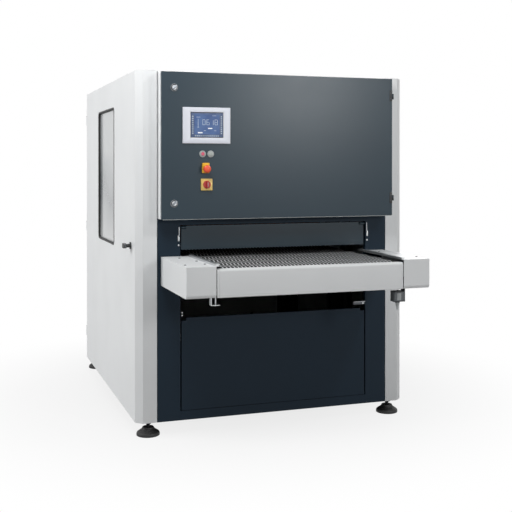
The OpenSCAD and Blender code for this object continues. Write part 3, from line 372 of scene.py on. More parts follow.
def belt_cloth(name):
    """Conveyor belt body: black rubber on fabric, with a fine woven print about 3 mm apart."""
    m, t, s, obj = start(name, "#1B1D1F", 0.75, Specular_IOR_Level=0.2)
    weave = node(t, "ShaderNodeTexWave", {"wave_type": "BANDS", "bands_direction": "DIAGONAL"},
                 {"Vector": obj}, Scale=1000.0 / 20, Distortion=1.5, Detail=2.0).outputs["Fac"]
    t.links.new(ramp(t, weave, [(0.3, "#08090A"), (0.8, "#141617")]), s.inputs["Base Color"])
    t.links.new(spread(t, noise(t, obj, 40), 0.55, 0.8), s.inputs["Roughness"])
    bumped(t, s, weave, 0.4, 0.5)
    return m


def abrasive_cloth(name):
    """Coated abrasive: red-brown grain on cloth, in broad bands, with pits the size of coarse grit."""
    m, t, s, obj = start(name, "#7A4227", 0.85)
    grit = node(t, "ShaderNodeTexVoronoi", links={"Vector": obj}, Scale=1000.0 / 2.2).outputs["Distance"]
    bands = node(t, "ShaderNodeTexWave", {"wave_type": "BANDS", "bands_direction": "X"},
                 {"Vector": obj}, Scale=1000.0 / 120, Distortion=2.0).outputs["Fac"]
    mix = node(t, "ShaderNodeMath", {"operation": "MULTIPLY_ADD"}, {0: bands}).outputs[0]
    mix.node.inputs[1].default_value = 0.35
    t.links.new(grit, mix.node.inputs[2])
    t.links.new(ramp(t, mix, [(0.1, "#4C2616"), (0.6, "#7F4527"), (1.0, "#A2633B")]), s.inputs["Base Color"])
    bumped(t, s, grit, 0.5, 0.9)
    return m


def brush_filament(name):
    """Nylon filled with abrasive: tan bristle ends, streaked along the strands and speckled."""
    m, t, s, obj = start(name, "#8A6B3C", 0.75)
    strands = noise(t, obj, 2.5, 4.0, 0.8)
    t.links.new(ramp(t, strands, [(0.25, "#4E3A1E"), (0.5, "#84653A"), (0.8, "#B08E58")]), s.inputs["Base Color"])
    t.links.new(spread(t, strands, 0.6, 0.9), s.inputs["Roughness"])
    bumped(t, s, strands, 0.9, 0.9)
    return m


def window_sheet(name):
    """Smoked polycarbonate: see-through grey with a faint ripple and a painted reflection, a soft band of colour that
    runs light, dark and light again up the pane.
    """
    m, t, s, obj = start(name, "#C4C8CB", 0.16, 0.0, IOR=1.58, Alpha=0.9)
    z = node(t, "ShaderNodeSeparateXYZ", links={"Vector": obj}).outputs["Z"]
    lo, hi = box_of("window_pane")
    up = node(t, "ShaderNodeMapRange", links={"Value": z}, From_Min=lo[2], From_Max=hi[2]).outputs[0]
    drift = node(t, "ShaderNodeMath", {"operation": "MULTIPLY_ADD"}, {0: noise(t, obj, 420, 1.0), 2: up}).outputs[0]
    drift.node.inputs[1].default_value = 0.5
    # painted reflection: colour light near the pane's bottom, darkest in its lower middle, lighter again towards the
    # top
    t.links.new(ramp(t, drift, [(0.2, "#D9DBDC"), (0.6, "#8C9195"), (1.25, "#C6C9CB")]), s.inputs["Base Color"])
    t.links.new(spread(t, noise(t, obj, 90), 0.08, 0.2), s.inputs["Roughness"])
    bumped(t, s, noise(t, obj, 160, 1.0), 0.6, 0.1)
    return m


def lit_screen(name, low, high, glow, cell_mm=60.0):
    """Liquid crystal display: lit from behind, a little uneven, dark glass when it is off."""
    m, t, s, obj = start(name, "#0A0C10", 0.22, 0.0)
    drift = noise(t, obj, cell_mm, 2.0)
    t.links.new(ramp(t, drift, [(0.3, "#07090C"), (0.7, "#10141A")]), s.inputs["Base Color"])
    t.links.new(ramp(t, drift, [(0.3, low), (0.7, high)]), s.inputs["Emission Color"])
    s.inputs["Emission Strength"].default_value = glow
    t.links.new(spread(t, noise(t, obj, 20), 0.14, 0.24), s.inputs["Roughness"])
    return m


def chromed(name):
    """Chrome plate on a die-cast lock: a mirror with faint ripples."""
    m, t, s, obj = start(name, "#D5D8DA", 0.1, 1.0)
    t.links.new(ramp(t, noise(t, obj, 14), [(0.3, "#C2C6C9"), (0.7, "#E4E6E8")]), s.inputs["Base Color"])
    t.links.new(spread(t, noise(t, obj, 8), 0.06, 0.18), s.inputs["Roughness"])
    bumped(t, s, noise(t, obj, 10), 0.04, 0.3, 0.5)
    return m


def make_materials():
    """All finishes, one for each of the record's slots and a few for finer pieces."""
    c = colours()
    powder_coat("white_powder_coat", c.shell)
    powder_coat("anthracite_powder_coat", c.front, 0.3, 2.0, gloss=0.36)
    powder_coat("column_powder_coat", c.columns, 0.42, 2.0, gloss=0.14)
    powder_coat("table_powder_coat", c.table, 0.4)
    powder_coat("frame_enamel", c.inside, 0.6, gloss=0.1)
    powder_coat("motor_enamel", c.motor, 0.35)
    zinc_plate("zinc_plated_steel", "#B9BCBE")
    turned_metal("ground_steel", "#8C9196", 0.3, (1, 1, 0.2), 0.6)
    turned_metal("blackened_steel", "#2A2B2D", 0.4, (1, 1, 0.1))
    turned_metal("bright_turned_steel", "#B4B6B8", 0.28, (0.1, 1, 1))
    turned_metal("anodised_aluminium", "#C9CBCD", 0.32, (1, 0.05, 1))
    powder_coat("silver_lacquer", "#E3E6F0", 0.36, 1.2, 0.5)
    zinc_plate("dulled_zinc", "#505356")
    turned_metal("lock_metal", "#3C4044", 0.34, (1, 1, 0.2), 0.6)
    cast_skin("cast_iron_skin", "#3E4144")
    chromed("chrome_plate")
    moulded("black_polyamide", "#131416", 0.5)
    moulded("grey_polyamide", "#5C6063", 0.5)
    moulded("pale_label_plate", "#9DA1A2", 0.45)
    moulded("ring_grey_abs", "#B9BEBE", 0.4)
    moulded("light_grey_abs", "#B9BDBC", 0.42)
    moulded("white_cap_abs", "#C3C9C4", 0.34, coat=0.3)
    moulded("yellow_abs", c.yellow, 0.38, coat=0.2)
    moulded("cream_yellow_abs", "#EDCB74", 0.4, coat=0.2)
    moulded("signal_red_abs", c.red, 0.3, coat=0.4)
    moulded("orange_red_abs", "#F2552E", 0.32, coat=0.3)
    moulded("deep_red_abs", "#BE3230", 0.32, coat=0.3)
    moulded("ruby_cap_abs", "#D9486A", 0.28, coat=0.5)
    rubber("gasket_rubber", "#0D0E0F", 0.6, 1.5)
    rubber("drum_rubber", "#1A1B1C", 0.72)
    rubber("foot_rubber", "#0E0F10", 0.55)
    # painted highlight: near-white rib crowns stand in for light on the rib tops; the flanks keep the belt's black
    # rubber
    ribbed_rubber("rib_crown_painted_highlight", "#C2C4C5", "#E4E6E7")
    ribbed_rubber("rib_flank_rubber", "#0E0F10", "#222426")
    belt_cloth("belt_cover_rubber")
    abrasive_cloth("abrasive_grain_cloth")
    brush_filament("abrasive_nylon_filament")
    window_sheet("smoked_polycarbonate_painted_reflection")
    lit_screen("display_blue", "#34548C", "#4A6A9E", 0.85)
    lit_screen("display_column", "#3E4F74", "#566A90", 0.85, 25)
    lit_screen("display_key_light", "#9FB0BC", "#C3D0D6", 0.85, 25)
    lit_screen("display_mark", "#A9BAD2", "#CFDCEA", 0.85, 25)
    lit_screen("display_bright", "#E4ECF4", "#FFFFFF", 0.95, 25)


SLOT_FINISH = {
    "white_paint": "white_powder_coat", "anthracite_paint": "anthracite_powder_coat",
    "table_paint": "table_powder_coat", "frame_paint": "frame_enamel", "zinc_steel": "zinc_plated_steel",
    "black_steel": "blackened_steel", "foot_steel": "blackened_steel", "cast_iron": "cast_iron_skin",
    "motor_paint": "motor_enamel", "aluminium": "anodised_aluminium", "roller_metal": "bright_turned_steel",
    "panel_metal": "silver_lacquer", "chrome": "chrome_plate", "belt_rubber": "belt_cover_rubber",
    "drum_rubber": "drum_rubber", "black_rubber": "gasket_rubber", "abrasive_cloth": "abrasive_grain_cloth",
    "brush_fibre": "abrasive_nylon_filament", "black_plastic": "black_polyamide", "grey_plastic": "grey_polyamide",
    "yellow_plastic": "yellow_abs", "red_plastic": "signal_red_abs", "red_button": "ruby_cap_abs",
    "white_button": "white_cap_abs", "display_glass": "display_blue", "window_glass": "smoked_polycarbonate_painted_reflection"}
NODE_FINISH = {"switch_plate": "cream_yellow_abs", "side_guides": "anodised_aluminium",
               "front_columns": "column_powder_coat", "inlet_soffit": "column_powder_coat",
               "front_plinth": "column_powder_coat", "lower_front_panel": "column_powder_coat",
               "trip_bar_bracket": "zinc_plated_steel", "operator_display": "black_polyamide"}


class MACHINE_OT_finishes(bpy.types.Operator):
    """Makes the finishes and gives each CAD node the one of its slot"""
    bl_idname = "machine.finishes"
    bl_label = "Finishes"

    def execute(self, context):
        make_materials()
        for part in frame["record"]["subparts"]:
            obj = frame["nodes"][part["node"]]
            finish = NODE_FINISH.get(part["node"], SLOT_FINISH[part["material_slot"]])
            obj.data.materials.clear()
            obj.data.materials.append(MATERIALS[finish])
        return {"FINISHED"}


# ---------------------------------------------------------------- conveyor

class MACHINE_OT_belt_tread(bpy.types.Operator):
    """Zigzag ribs of the conveyor belt"""
    bl_idname = "machine.belt_tread"
    bl_label = "Belt tread"

    def execute(self, context):
        """Rib k: x = (k - K / 2) pitch + sway tri(s / wave); its path is flat for |s| < L, then round the rollers."""
        hi = box_of("conveyor_belt")[1]
        roller = box_of("drive_roller")
        half = (roller[0][1] + roller[1][1]) / 2
        radius, top, b = hi[1] - half, hi[2], sizes()
        count = int((2 * hi[0] - 4 * b.sway) // b.rib_pitch)
        step = b.wave / 8
        n = int((half + 0.9 * radius) // step)
        s = np.arange(-n, n + 1) * step
        turn = np.clip(np.abs(s) - half, 0, None) / radius
        out = np.sign(s)
        tri = 2 * np.abs(2 * (s / b.wave - np.floor(s / b.wave + 0.5))) - 1
        offset, height = np.array([[-3.4, -0.3], [-2.6, 1], [2.6, 1], [3.4, -0.3]]).T
        row = (np.arange(count) - (count - 1) / 2) * b.rib_pitch
        x = row[:, None, None] + (b.sway * tri)[None, :, None] + offset * MM
        lift = height * b.rib_height
        y = (np.clip(s, -half, half) + out * radius * np.sin(turn))[:, None] + (out * np.sin(turn))[:, None] * lift
        z = (top - radius + radius * np.cos(turn))[:, None] + np.cos(turn)[:, None] * lift
        grid = np.stack([x, y[None] + 0 * x, z[None] + 0 * x], -1)
        m = len(s)
        i, j, k = np.meshgrid(np.arange(count), np.arange(m - 1), np.arange(4), indexing="ij")
        at = (i * m + j) * 4
        after = (k + 1) % 4
        quads = np.stack([at + k, at + after, at + 4 + after, at + 4 + k], -1).reshape(-1, 4)
        ends = (np.arange(count)[:, None] * m + np.array([0, m - 1])).reshape(-1, 1) * 4 + np.arange(4)
        crown = k.reshape(-1) == 1
        pts = grid.reshape(-1, 3)
        flanks = quads[~crown].tolist() + ends.tolist()
        # the crown quads carry the painted highlight, the flanks and ends the black rubber
        piece("belt_tread", [((pts, quads[crown].tolist()), "rib_crown_painted_highlight"), ((pts, flanks), "rib_flank_rubber")],
              "root", sharp=20)
        return {"FINISHED"}


class MACHINE_OT_cover_screws(bpy.types.Operator):
    """Socket screws of the covers, hangers at the flap's ends and the catch under the table"""
    bl_idname = "machine.cover_screws"
    bl_label = "Screws and catches"

    def execute(self, context):
        """Screw heads are turned from a dome with a pocket; hangers and catch are thin plates with their bolts."""
        lo, hi = box_of("infeed_cover_right")
        r_lo, r_hi = box_of("rear_panel")
        top, inner, front, rear = hi[2], lo[0], box_of("front_columns")[0][1], r_hi[1]
        dome = np.array([(0, 0), (6, 0), (6, 0.8), (5.4, 1.9), (4.2, 2.6), (2.9, 2.9), (2.6, 2.9), (2.5, 1.4),
                         (0, 1.4)]) * MM
        pocket = np.array([(0, 1.45), (2.4, 1.45), (2.4, 1.6), (0, 1.6)]) * MM
        shapes = []
        for dx, dy in ((71.5, 105), (26.5, 270), (24.5, 414), (123.5, 427)):
            for side in (-1, 1):
                place = (side * (inner + dx * MM), front - dy * MM, top)
                shapes += [(turned(dome, place, (0, 0, 1), 24), "dulled_zinc"),
                           (turned(pocket, place, (0, 0, 1), 6), "black_polyamide")]
        rear_x, rear_z = r_hi[0] - 20 * MM, np.linspace(r_lo[2] + 125 * MM, r_hi[2] - 127 * MM, 4)
        for x in (-rear_x, rear_x):
            for z in rear_z:
                shapes += [(turned(dome, (x, rear, z), (0, 1, 0), 24), "zinc_plated_steel"),
                           (turned(pocket, (x, rear, z), (0, 1, 0), 6), "black_polyamide")]
        flap_end, flap_top = box_of("inlet_flap")[1][[0, 2]]
        panel_end, panel_top = box_of("lower_front_panel")[1][[0, 2]]
        bolt = np.array([(0, 0), (5, 0), (5, 2.4), (4, 3.4), (0, 3.8)]) * MM
        hanger_leaves, hanger_bolt = ((3.6, 59, 5, 0.8), (9, 78, 49, 2)), 99
        for side in (-1, 1):
            for reach, low, high, r in hanger_leaves:
                x = sorted((side * (flap_end + 0.3 * MM), side * (flap_end + reach * MM)))
                leaf = plate((x[0], front - 4 * MM, flap_top - low * MM),
                             (x[1], front - 0.2 * MM, flap_top - high * MM), r * MM, 0.5 * MM)
                shapes.append((leaf, "zinc_plated_steel"))
            place = (side * (flap_end + 4 * MM), front, flap_top - hanger_bolt * MM)
            shapes.append((turned(bolt, place, (0, -1, 0), 20), "zinc_plated_steel"))
        catch_x, catch_z = panel_end - np.array([75, 5.5]) * MM, panel_top + np.array([20, 36]) * MM
        catch = plate((catch_x[0], front + 3 * MM, catch_z[0]), (catch_x[1], front + 6 * MM, catch_z[1]),
                      1.5 * MM, 0.8 * MM)
        ledge = plate((catch_x[0] + 1.5 * MM, front + 0.2 * MM, catch_z[1] - 1.5 * MM),
                      (catch_x[1], front + 6 * MM, catch_z[1] + 0.5 * MM), 0.8 * MM, 0.4 * MM)
        shapes += [(catch, "dulled_zinc"), (ledge, "zinc_plated_steel"),
                   (turned(bolt, (panel_end - 19 * MM, front + 3 * MM, panel_top + 26.5 * MM), (0, -1, 0), 20),
                    "zinc_plated_steel")]
        for rise in (26, 12):
            place = (16 * MM - panel_end, front + 8 * MM, panel_top + rise * MM)
            shapes.append((turned(bolt * 0.8, place, (0, -1, 0), 16), "zinc_plated_steel"))
        piece("fastener_set", shapes, "root", ("fasteners",))
        return {"FINISHED"}


# ---------------------------------------------------------------- window

class MACHINE_OT_window_gasket(bpy.types.Operator):
    """Rubber gasket with a rounded lip round the window"""
    bl_idname = "machine.window_gasket"
    bl_label = "Window gasket"

    def execute(self, context):
        """A half-round lip profile carried round the window's rounded rectangle."""
        lo, hi = box_of("window_seal")
        w, h = hi[1] - lo[1], hi[2] - lo[2]
        a = np.linspace(0, np.pi, 9)
        lip = [(4.8 * MM * (1 - np.cos(t)), 1.6 * MM * np.sin(t)) for t in a]
        lip += [(9.6 * MM, -8 * MM), (5.4 * MM, -8 * MM), (5.4 * MM, 0)]
        centre = (lo[0] + 0.2 * MM, (lo[1] + hi[1]) / 2, (lo[2] + hi[2]) / 2)
        shape = carried(w, h, 30 * MM, lip, centre, (-1, 0, 0))
        piece("window_gasket_lip", [(shape, "gasket_rubber")], "left_side_door")
        return {"FINISHED"}


# ---------------------------------------------------------------- operator controls

class MACHINE_OT_display(bpy.types.Operator):
    """Generic screen page: key columns, key row, gauge, value bars and seven-segment digits"""
    bl_idname = "machine.display"
    bl_label = "Display page"

    def execute(self, context):
        """Rectangles (u, v, width, height) in shares of the screen become thin plates on its face."""
        lo, hi = box_of("operator_display")
        y, size = lo[1], hi - lo

        def page(rows, finish, lift):
            r = np.array(rows, float)
            low = np.stack([lo[0] + r[:, 0] * size[0], np.full(len(r), y - lift), lo[2] + r[:, 1] * size[2]], 1)
            high = np.stack([low[:, 0] + r[:, 2] * size[0], np.full(len(r), y + 0.0001),
                             low[:, 2] + r[:, 3] * size[2]], 1)
            return bars(low, high), finish

        sheet = page([(0.115, 0.13, 0.77, 0.79)], "display_blue", 0.0002)
        edges = page([(0.015, 0.02, 0.1, 0.9), (0.885, 0.02, 0.1, 0.9), (0.115, 0.02, 0.77, 0.11),
                      (0.015, 0.92, 0.97, 0.06)], "display_column", 0.00015)
        k = np.arange(9)
        keys = np.concatenate([np.stack([0 * k + x, 0.15 + k * 0.083, 0 * k + 0.035, 0 * k + 0.04], 1)
                               for x in (0.045, 0.925)])
        k = np.arange(12)
        row = np.stack([0.13 + k * 0.063, 0 * k + 0.05, 0 * k + 0.04, 0 * k + 0.035], 1)
        digits = []
        zero, six, one, eight = (1, 1, 1, 0, 1, 1, 1), (1, 1, 0, 1, 1, 1, 1), (0, 0, 1, 0, 0, 1, 0), (1,) * 7
        for n, lit in enumerate((zero, six, one, eight)):
            x, z, w, h = 0.36 + n * 0.125, 0.5, 0.075, 0.2
            seg = [(x, z + h, w, 0.014), (x, z + h / 2, 0.012, h / 2), (x + w, z + h / 2, 0.012, h / 2),
                   (x, z + h / 2, w, 0.012), (x, z, 0.012, h / 2), (x + w, z, 0.012, h / 2), (x, z, w, 0.014)]
            digits += [g for g, on in zip(seg, lit) if on]
        digits += [(0.22, 0.42, 0.012, 0.32), (0.2, 0.4, 0.055, 0.02), (0.17, 0.8, 0.12, 0.014),
                   (0.66, 0.86, 0.12, 0.014), (0.4, 0.27, 0.06, 0.014), (0.72, 0.27, 0.06, 0.014)]
        bright = [(0.53, 0.345, 0.13, 0.04), (0.22, 0.17, 0.14, 0.045)]
        piece("display_page", [sheet, edges, page(np.concatenate([keys, row]), "display_key_light", 0.0003),
                               page(digits, "display_mark", 0.0003), page(bright, "display_bright", 0.0004)],
              "cabinet_door", sharp=10)
        return {"FINISHED"}


class MACHINE_OT_bezel(bpy.types.Operator):
    """Operator panel: a lacquered plate with bevelled edges and an opening for the display"""
    bl_idname = "machine.bezel"
    bl_label = "Panel bezel"

    def execute(self, context):
        """Rings of rounded rectangles (width, height, radius, middle, depth) run over the face into the opening."""
        lo, hi = box_of("operator_panel")
        d_lo, d_hi = box_of("operator_display")
        mid, d_mid = (lo + hi) / 2, (d_lo + d_hi) / 2
        w, h = hi[0] - lo[0], hi[2] - lo[2]
        dw, dh = d_hi[0] - d_lo[0] + 1 * MM, d_hi[2] - d_lo[2] + 1 * MM
        rows = [(w, h, 3, mid, 0), (w, h, 3, mid, 6.6), (w - 1 * MM, h - 1 * MM, 3, mid, 7.6),
                (w - 2.6 * MM, h - 2.6 * MM, 3, mid, 8), (dw + 4 * MM, dh + 4 * MM, 2, d_mid, 8),
                (dw + 1.5 * MM, dh + 1.5 * MM, 1.5, d_mid, 7.6), (dw, dh, 1, d_mid, 6.4), (dw, dh, 1, d_mid, 0)]
        rings = []
        for rw, rh, r, c, depth in rows:
            o = round_rect(rw, rh, r * MM)
            rings.append(np.stack([c[0] + o[:, 0], 0 * o[:, 0] + hi[1] - depth * MM, c[2] + o[:, 1]], 1))
        face = skin(np.array(rings), wrap_u=True, wrap_v=True)
        piece("panel_plate", [(face, "silver_lacquer")], "cabinet_door", ("operator_panel",), sharp=25)
        return {"FINISHED"}


class MACHINE_OT_push_buttons(bpy.types.Operator):
    """Domed caps and bevelled rings of the two push buttons"""
    bl_idname = "machine.push_buttons"
    bl_label = "Push buttons"

    def execute(self, context):
        """Cap and ring are turned from profiles; the cap's face is a shallow dish inside a raised rim."""
        low_ring, _ = box_of("button_collars")
        ring = np.array([(9.4, 5), (15, 5), (15, 2.2), (13.6, 0.2), (11.9, 0), (9.9, 0.7), (9.4, 1.4), (9.4, 5)]) * MM
        rings = []
        for name, finish, slot in (("stop_button", "ruby_cap_abs", "red_button"),
                                   ("start_button", "white_cap_abs", "white_button")):
            lo, hi = box_of(name)
            x, z = (lo[0] + hi[0]) / 2, (lo[2] + hi[2]) / 2
            cap = np.array([(0, 0.6), (5.6, 0.3), (7.4, 0), (8.6, 0.5), (9.1, 1.6), (9.1, 15), (0, 15)]) * MM
            rim = np.array([(9.15, 2), (9.9, 2), (10.8, 3), (11, 4), (11, 8.2), (9.15, 8.2), (9.15, 2)]) * MM
            parts = [(turned(cap, (x, lo[1], z), (0, 1, 0), 40), finish),
                     (turned(rim, (x, lo[1], z), (0, 1, 0), 40), "ring_grey_abs")]
            if name == "start_button":
                dash = plate((x - 1.1 * MM, lo[1] - 0.4 * MM, z - 5.5 * MM),
                             (x + 1.1 * MM, lo[1] + 1 * MM, z + 5.5 * MM), 0.8 * MM, 0.2 * MM)
                parts.append((dash, "grey_polyamide"))
            piece(name + "_cap", parts, name, (name,))
            shell = ring + np.array([2.1 * MM, 0])
            rings.append((turned(shell, (x, low_ring[1], z), (0, 1, 0), 40), "ring_grey_abs"))
        piece("button_rings", rings, "cabinet_door", ("button_collars",))
        return {"FINISHED"}


class MACHINE_OT_emergency_stop(bpy.types.Operator):
    """Mushroom head with a rounded crown, and its yellow housing with a collar"""
    bl_idname = "machine.emergency_stop"
    bl_label = "Emergency stop"

    def execute(self, context):
        """The crown is an ellipse arc in profile, turned with its skirt and stem; the housing is a bevelled plate."""
        lo, hi = box_of("estop_mushroom")
        c = ((lo[0] + hi[0]) / 2, lo[1], (lo[2] + hi[2]) / 2)
        a = np.linspace(0, np.pi / 2, 10)
        crown = [(18.6 * np.sin(t), 7.5 - 7.5 * np.cos(t)) for t in a]
        body = np.array(crown + [(19.6, 9), (19.8, 12), (19.2, 15.4), (14, 16), (11, 16.4), (11, 46.8), (0, 46.8)]) * MM
        piece("estop_head", [(turned(body, c, (0, 1, 0), 64), "orange_red_abs")], "estop_mushroom",
              ("estop_mushroom",))
        p_lo, p_hi = box_of("estop_housing")
        w, h = p_hi[0] - p_lo[0], p_hi[2] - p_lo[2]
        d = p_hi[1] - p_lo[1]
        profile = [(0, 0), (0, d - 3 * MM), (0.8 * MM, d - 1 * MM), (2.6 * MM, d)]
        back = ((p_lo[0] + p_hi[0]) / 2, p_hi[1], (p_lo[2] + p_hi[2]) / 2)
        base = carried(w, h, 5 * MM, profile, back, (0, -1, 0), caps=True)
        collar = turned(np.array([(11.2, 0), (15, 0), (15, 4), (13.6, 6), (11.2, 6), (11.2, 0)]) * MM,
                        (c[0], p_lo[1], c[2]), (0, -1, 0), 40)
        piece("estop_plate", [(base, "yellow_abs"), (collar, "black_polyamide")], "cabinet_door",
              ("estop_housing",))
        return {"FINISHED"}


class MACHINE_OT_main_switch(bpy.types.Operator):
    """Rotary handle with a waisted grip, and its square plate with a dial ring"""
    bl_idname = "machine.main_switch"
    bl_label = "Main switch"

    def execute(self, context):
        """Grip: half width a + b s^2 along its length s, rounded off at its ends and lofted up to a rounded top."""
        lo, hi = box_of("main_switch_handle")
        c = np.array([(lo[0] + hi[0]) / 2, lo[1], (lo[2] + hi[2]) / 2])
        s = np.linspace(-1, 1, 25)
        u = np.linspace(0, np.pi, 13)
        half = (5.4 + 1.4 * s ** 2) * np.sqrt(np.clip(1.02 - s ** 8, 0.02, 1))
        x = half[:, None] * np.cos(u)[None, :]
        y = 19 - 18 * np.sin(u)[None, :] ** 0.55 * np.sqrt(np.clip(1.02 - s ** 10, 0.02, 1))[:, None]
        z = 19.6 * s[:, None] + 0 * u[None, :]
        grip = np.stack([x, y, z], -1) * MM + np.array([c[0], lo[1] - 0.4 * MM, c[2]])
        pts, faces = skin(grip)
        n = len(u)
        faces += [list(range(n)), list(range(len(pts) - n, len(pts)))]
        faces += [[i * n, (i + 1) * n, (i + 1) * n + n - 1, i * n + n - 1] for i in range(len(s) - 1)]
        disc = np.array([(0, 17.5), (17.5, 17.5), (19.4, 19), (20, 20.5), (20, 23), (6, 23), (6, 46), (0, 46)]) * MM
        hub = turned(disc, (c[0], lo[1], c[2]), (0, 1, 0), 48)
        stripe = plate((c[0] - 1.2 * MM, lo[1] + 0.1 * MM, c[2] - 13 * MM),
                       (c[0] + 1.2 * MM, lo[1] + 1.4 * MM, c[2] + 13 * MM), 1 * MM, 0.2 * MM)
        piece("main_switch_grip", [((pts, faces), "deep_red_abs"), (hub, "deep_red_abs"), (stripe, "light_grey_abs")],
              "main_switch_handle", ("main_switch_handle",))
        p_lo, p_hi = box_of("switch_plate")
        d = p_hi[1] - p_lo[1]
        base = carried(p_hi[0] - p_lo[0], p_hi[2] - p_lo[2], 4 * MM,
                       [(0, 0), (0, d - 2.5 * MM), (0.7 * MM, d - 0.8 * MM), (2.2 * MM, d)],
                       ((p_lo[0] + p_hi[0]) / 2, p_hi[1], (p_lo[2] + p_hi[2]) / 2), (0, -1, 0), caps=True)
        piece("main_switch_plate", [(base, "cream_yellow_abs")], "cabinet_door", ("switch_plate",))
        return {"FINISHED"}


class MACHINE_OT_locks(bpy.types.Operator):
    """Quarter-turn locks: a turned rosette and a winged knob at a slant"""
    bl_idname = "machine.locks"
    bl_label = "Door locks"

    def execute(self, context):
        """The rosette is turned from a stepped dome; the wing is a rounded bar carried at 45 degrees."""
        cos_45 = 0.7071
        for name in ("upper_door_lock", "lower_door_lock"):
            lo, hi = box_of(name)
            x, z = (lo[0] + hi[0]) / 2, lo[2] + 18 * MM
            ring = np.array([(0, 1.2), (10, 1.2), (12, 0.4), (14, 0), (15.4, 0.8), (17.2, 3.6), (18.2, 6.4),
                             (0, 6.4)]) * MM
            wing = carried(30 * MM, 10 * MM, 4.6 * MM, [(0, 0), (0, 6 * MM), (0.6 * MM, 7.4 * MM), (2 * MM, 8 * MM)],
                           (x, lo[1] + 1.4 * MM, z), (0, -1, 0), up=(cos_45, 0, -cos_45), caps=True)
            piece(name + "_knob", [(turned(ring, (x, lo[1] - 0.4 * MM, z), (0, 1, 0), 40), "lock_metal"),
                                   (wing, "ground_steel")], name)
        return {"FINISHED"}


# ---------------------------------------------------------------- latches and feet

class MACHINE_OT_latches(bpy.types.Operator):
    """Moulded T-handles of the side doors"""
    bl_idname = "machine.latches"
    bl_label = "Door latches"

    def execute(self, context):
        """Superellipse section along s, in mm: half height 12.9 sqrt(1 - 0.6 s^6), depth 7.9 sqrt(1 - 0.75 s^4)."""
        for name in ("left_door_latch", "right_door_latch"):
            lo, hi = box_of(name)
            side = -1 if lo[0] < 0 else 1
            tip = lo[0] if side < 0 else hi[0]
            yc, latch_z = (lo[1] + hi[1]) / 2, lo[2] + 18 * MM
            s = np.linspace(-1, 1, 21)
            t = np.linspace(0, 2 * np.pi, 24, endpoint=False)
            depth = 7.9 * np.sqrt(np.clip(1.0 - 0.75 * s ** 4, 0.05, 1)) * MM
            height = 12.9 * np.sqrt(np.clip(1.0 - 0.6 * s ** 6, 0.05, 1)) * MM
            cx = np.sign(np.cos(t)) * np.abs(np.cos(t)) ** 0.7
            cz = np.sign(np.sin(t)) * np.abs(np.sin(t)) ** 0.7
            x = tip - side * 8.0 * MM + depth[:, None] * cx
            y = yc + 25.4 * MM * s[:, None] + 0 * cx
            z = latch_z + height[:, None] * cz
            pts, faces = skin(np.stack([x, y, z], -1), wrap_v=True)
            faces += [list(range(len(t))), list(range(len(pts) - len(t), len(pts)))]
            neck = turned(np.array([(0, 0), (11, 0), (9.6, 8), (8.4, 28), (0, 28)]) * MM,
                          (tip - side * 38 * MM, yc, latch_z), (side, 0, 0), 32)
            rosette = turned(np.array([(0, 0.3), (17.8, 0.3), (18.3, 2.4), (17, 5.4), (12, 6.8), (0, 7)]) * MM,
                             (tip - side * 42 * MM, yc, latch_z), (side, 0, 0), 40)
            parts = [((pts, faces), "grey_polyamide"), (neck, "black_polyamide"), (rosette, "lock_metal")]
            piece(name + "_grip", parts, name)
        return {"FINISHED"}


class MACHINE_OT_feet(bpy.types.Operator):
    """Levelling feet: moulded pad, hexagon nut and threaded spindle"""
    bl_idname = "machine.feet"
    bl_label = "Levelling feet"

    def execute(self, context):
        """Thread: r(a, z) = r0 + d tri(z / pitch - a / 2 pi), so the ridge climbs one pitch in each turn."""
        pitch = sizes().thread_pitch
        for name in ("foot_front_left", "foot_front_right", "foot_rear_left", "foot_rear_right"):
            lo, hi = box_of(name)
            x, y = (lo[0] + hi[0]) / 2, (lo[1] + hi[1]) / 2
            pad = np.array([(0, 0), (57, 0), (59.4, 1.6), (59.9, 7), (59.4, 12.5), (56.4, 18), (49.5, 23), (40.5, 28.5),
                            (33.5, 34), (30.3, 39.5), (29, 42.4), (26.8, 44), (12, 44.6), (0, 44.6)]) * MM
            a = np.linspace(0, 2 * np.pi, 40, endpoint=False)
            zt = 44 * MM + np.linspace(0, 1, 95) * (hi[2] - 44.5 * MM)
            phase = zt[:, None] / pitch - a[None, :] / (2 * np.pi)
            r = (9.2 + 0.7 * np.abs(2 * (phase - np.floor(phase + 0.5)))) * MM
            grid = np.stack([x + r * np.cos(a), y + r * np.sin(a), zt[:, None] + 0 * a[None, :]], -1)
            pts, faces = skin(grid, wrap_v=True)
            faces += [list(range(len(a))), list(range(len(pts) - len(a), len(pts)))]
            nut = turned(np.array([(0, 0), (17, 0), (20, 1.4), (20, 12.4), (17, 13.8), (0, 13.8)]) * MM,
                         (x, y, 58.7 * MM), (0, 0, 1), 6)
            piece(name + "_dressed", [(turned(pad, (x, y, 0), (0, 0, 1), 72), "foot_rubber"),
                                      ((pts, faces), "blackened_steel"), (nut, "blackened_steel")],
                  name, (name,), sharp=25)
        return {"FINISHED"}


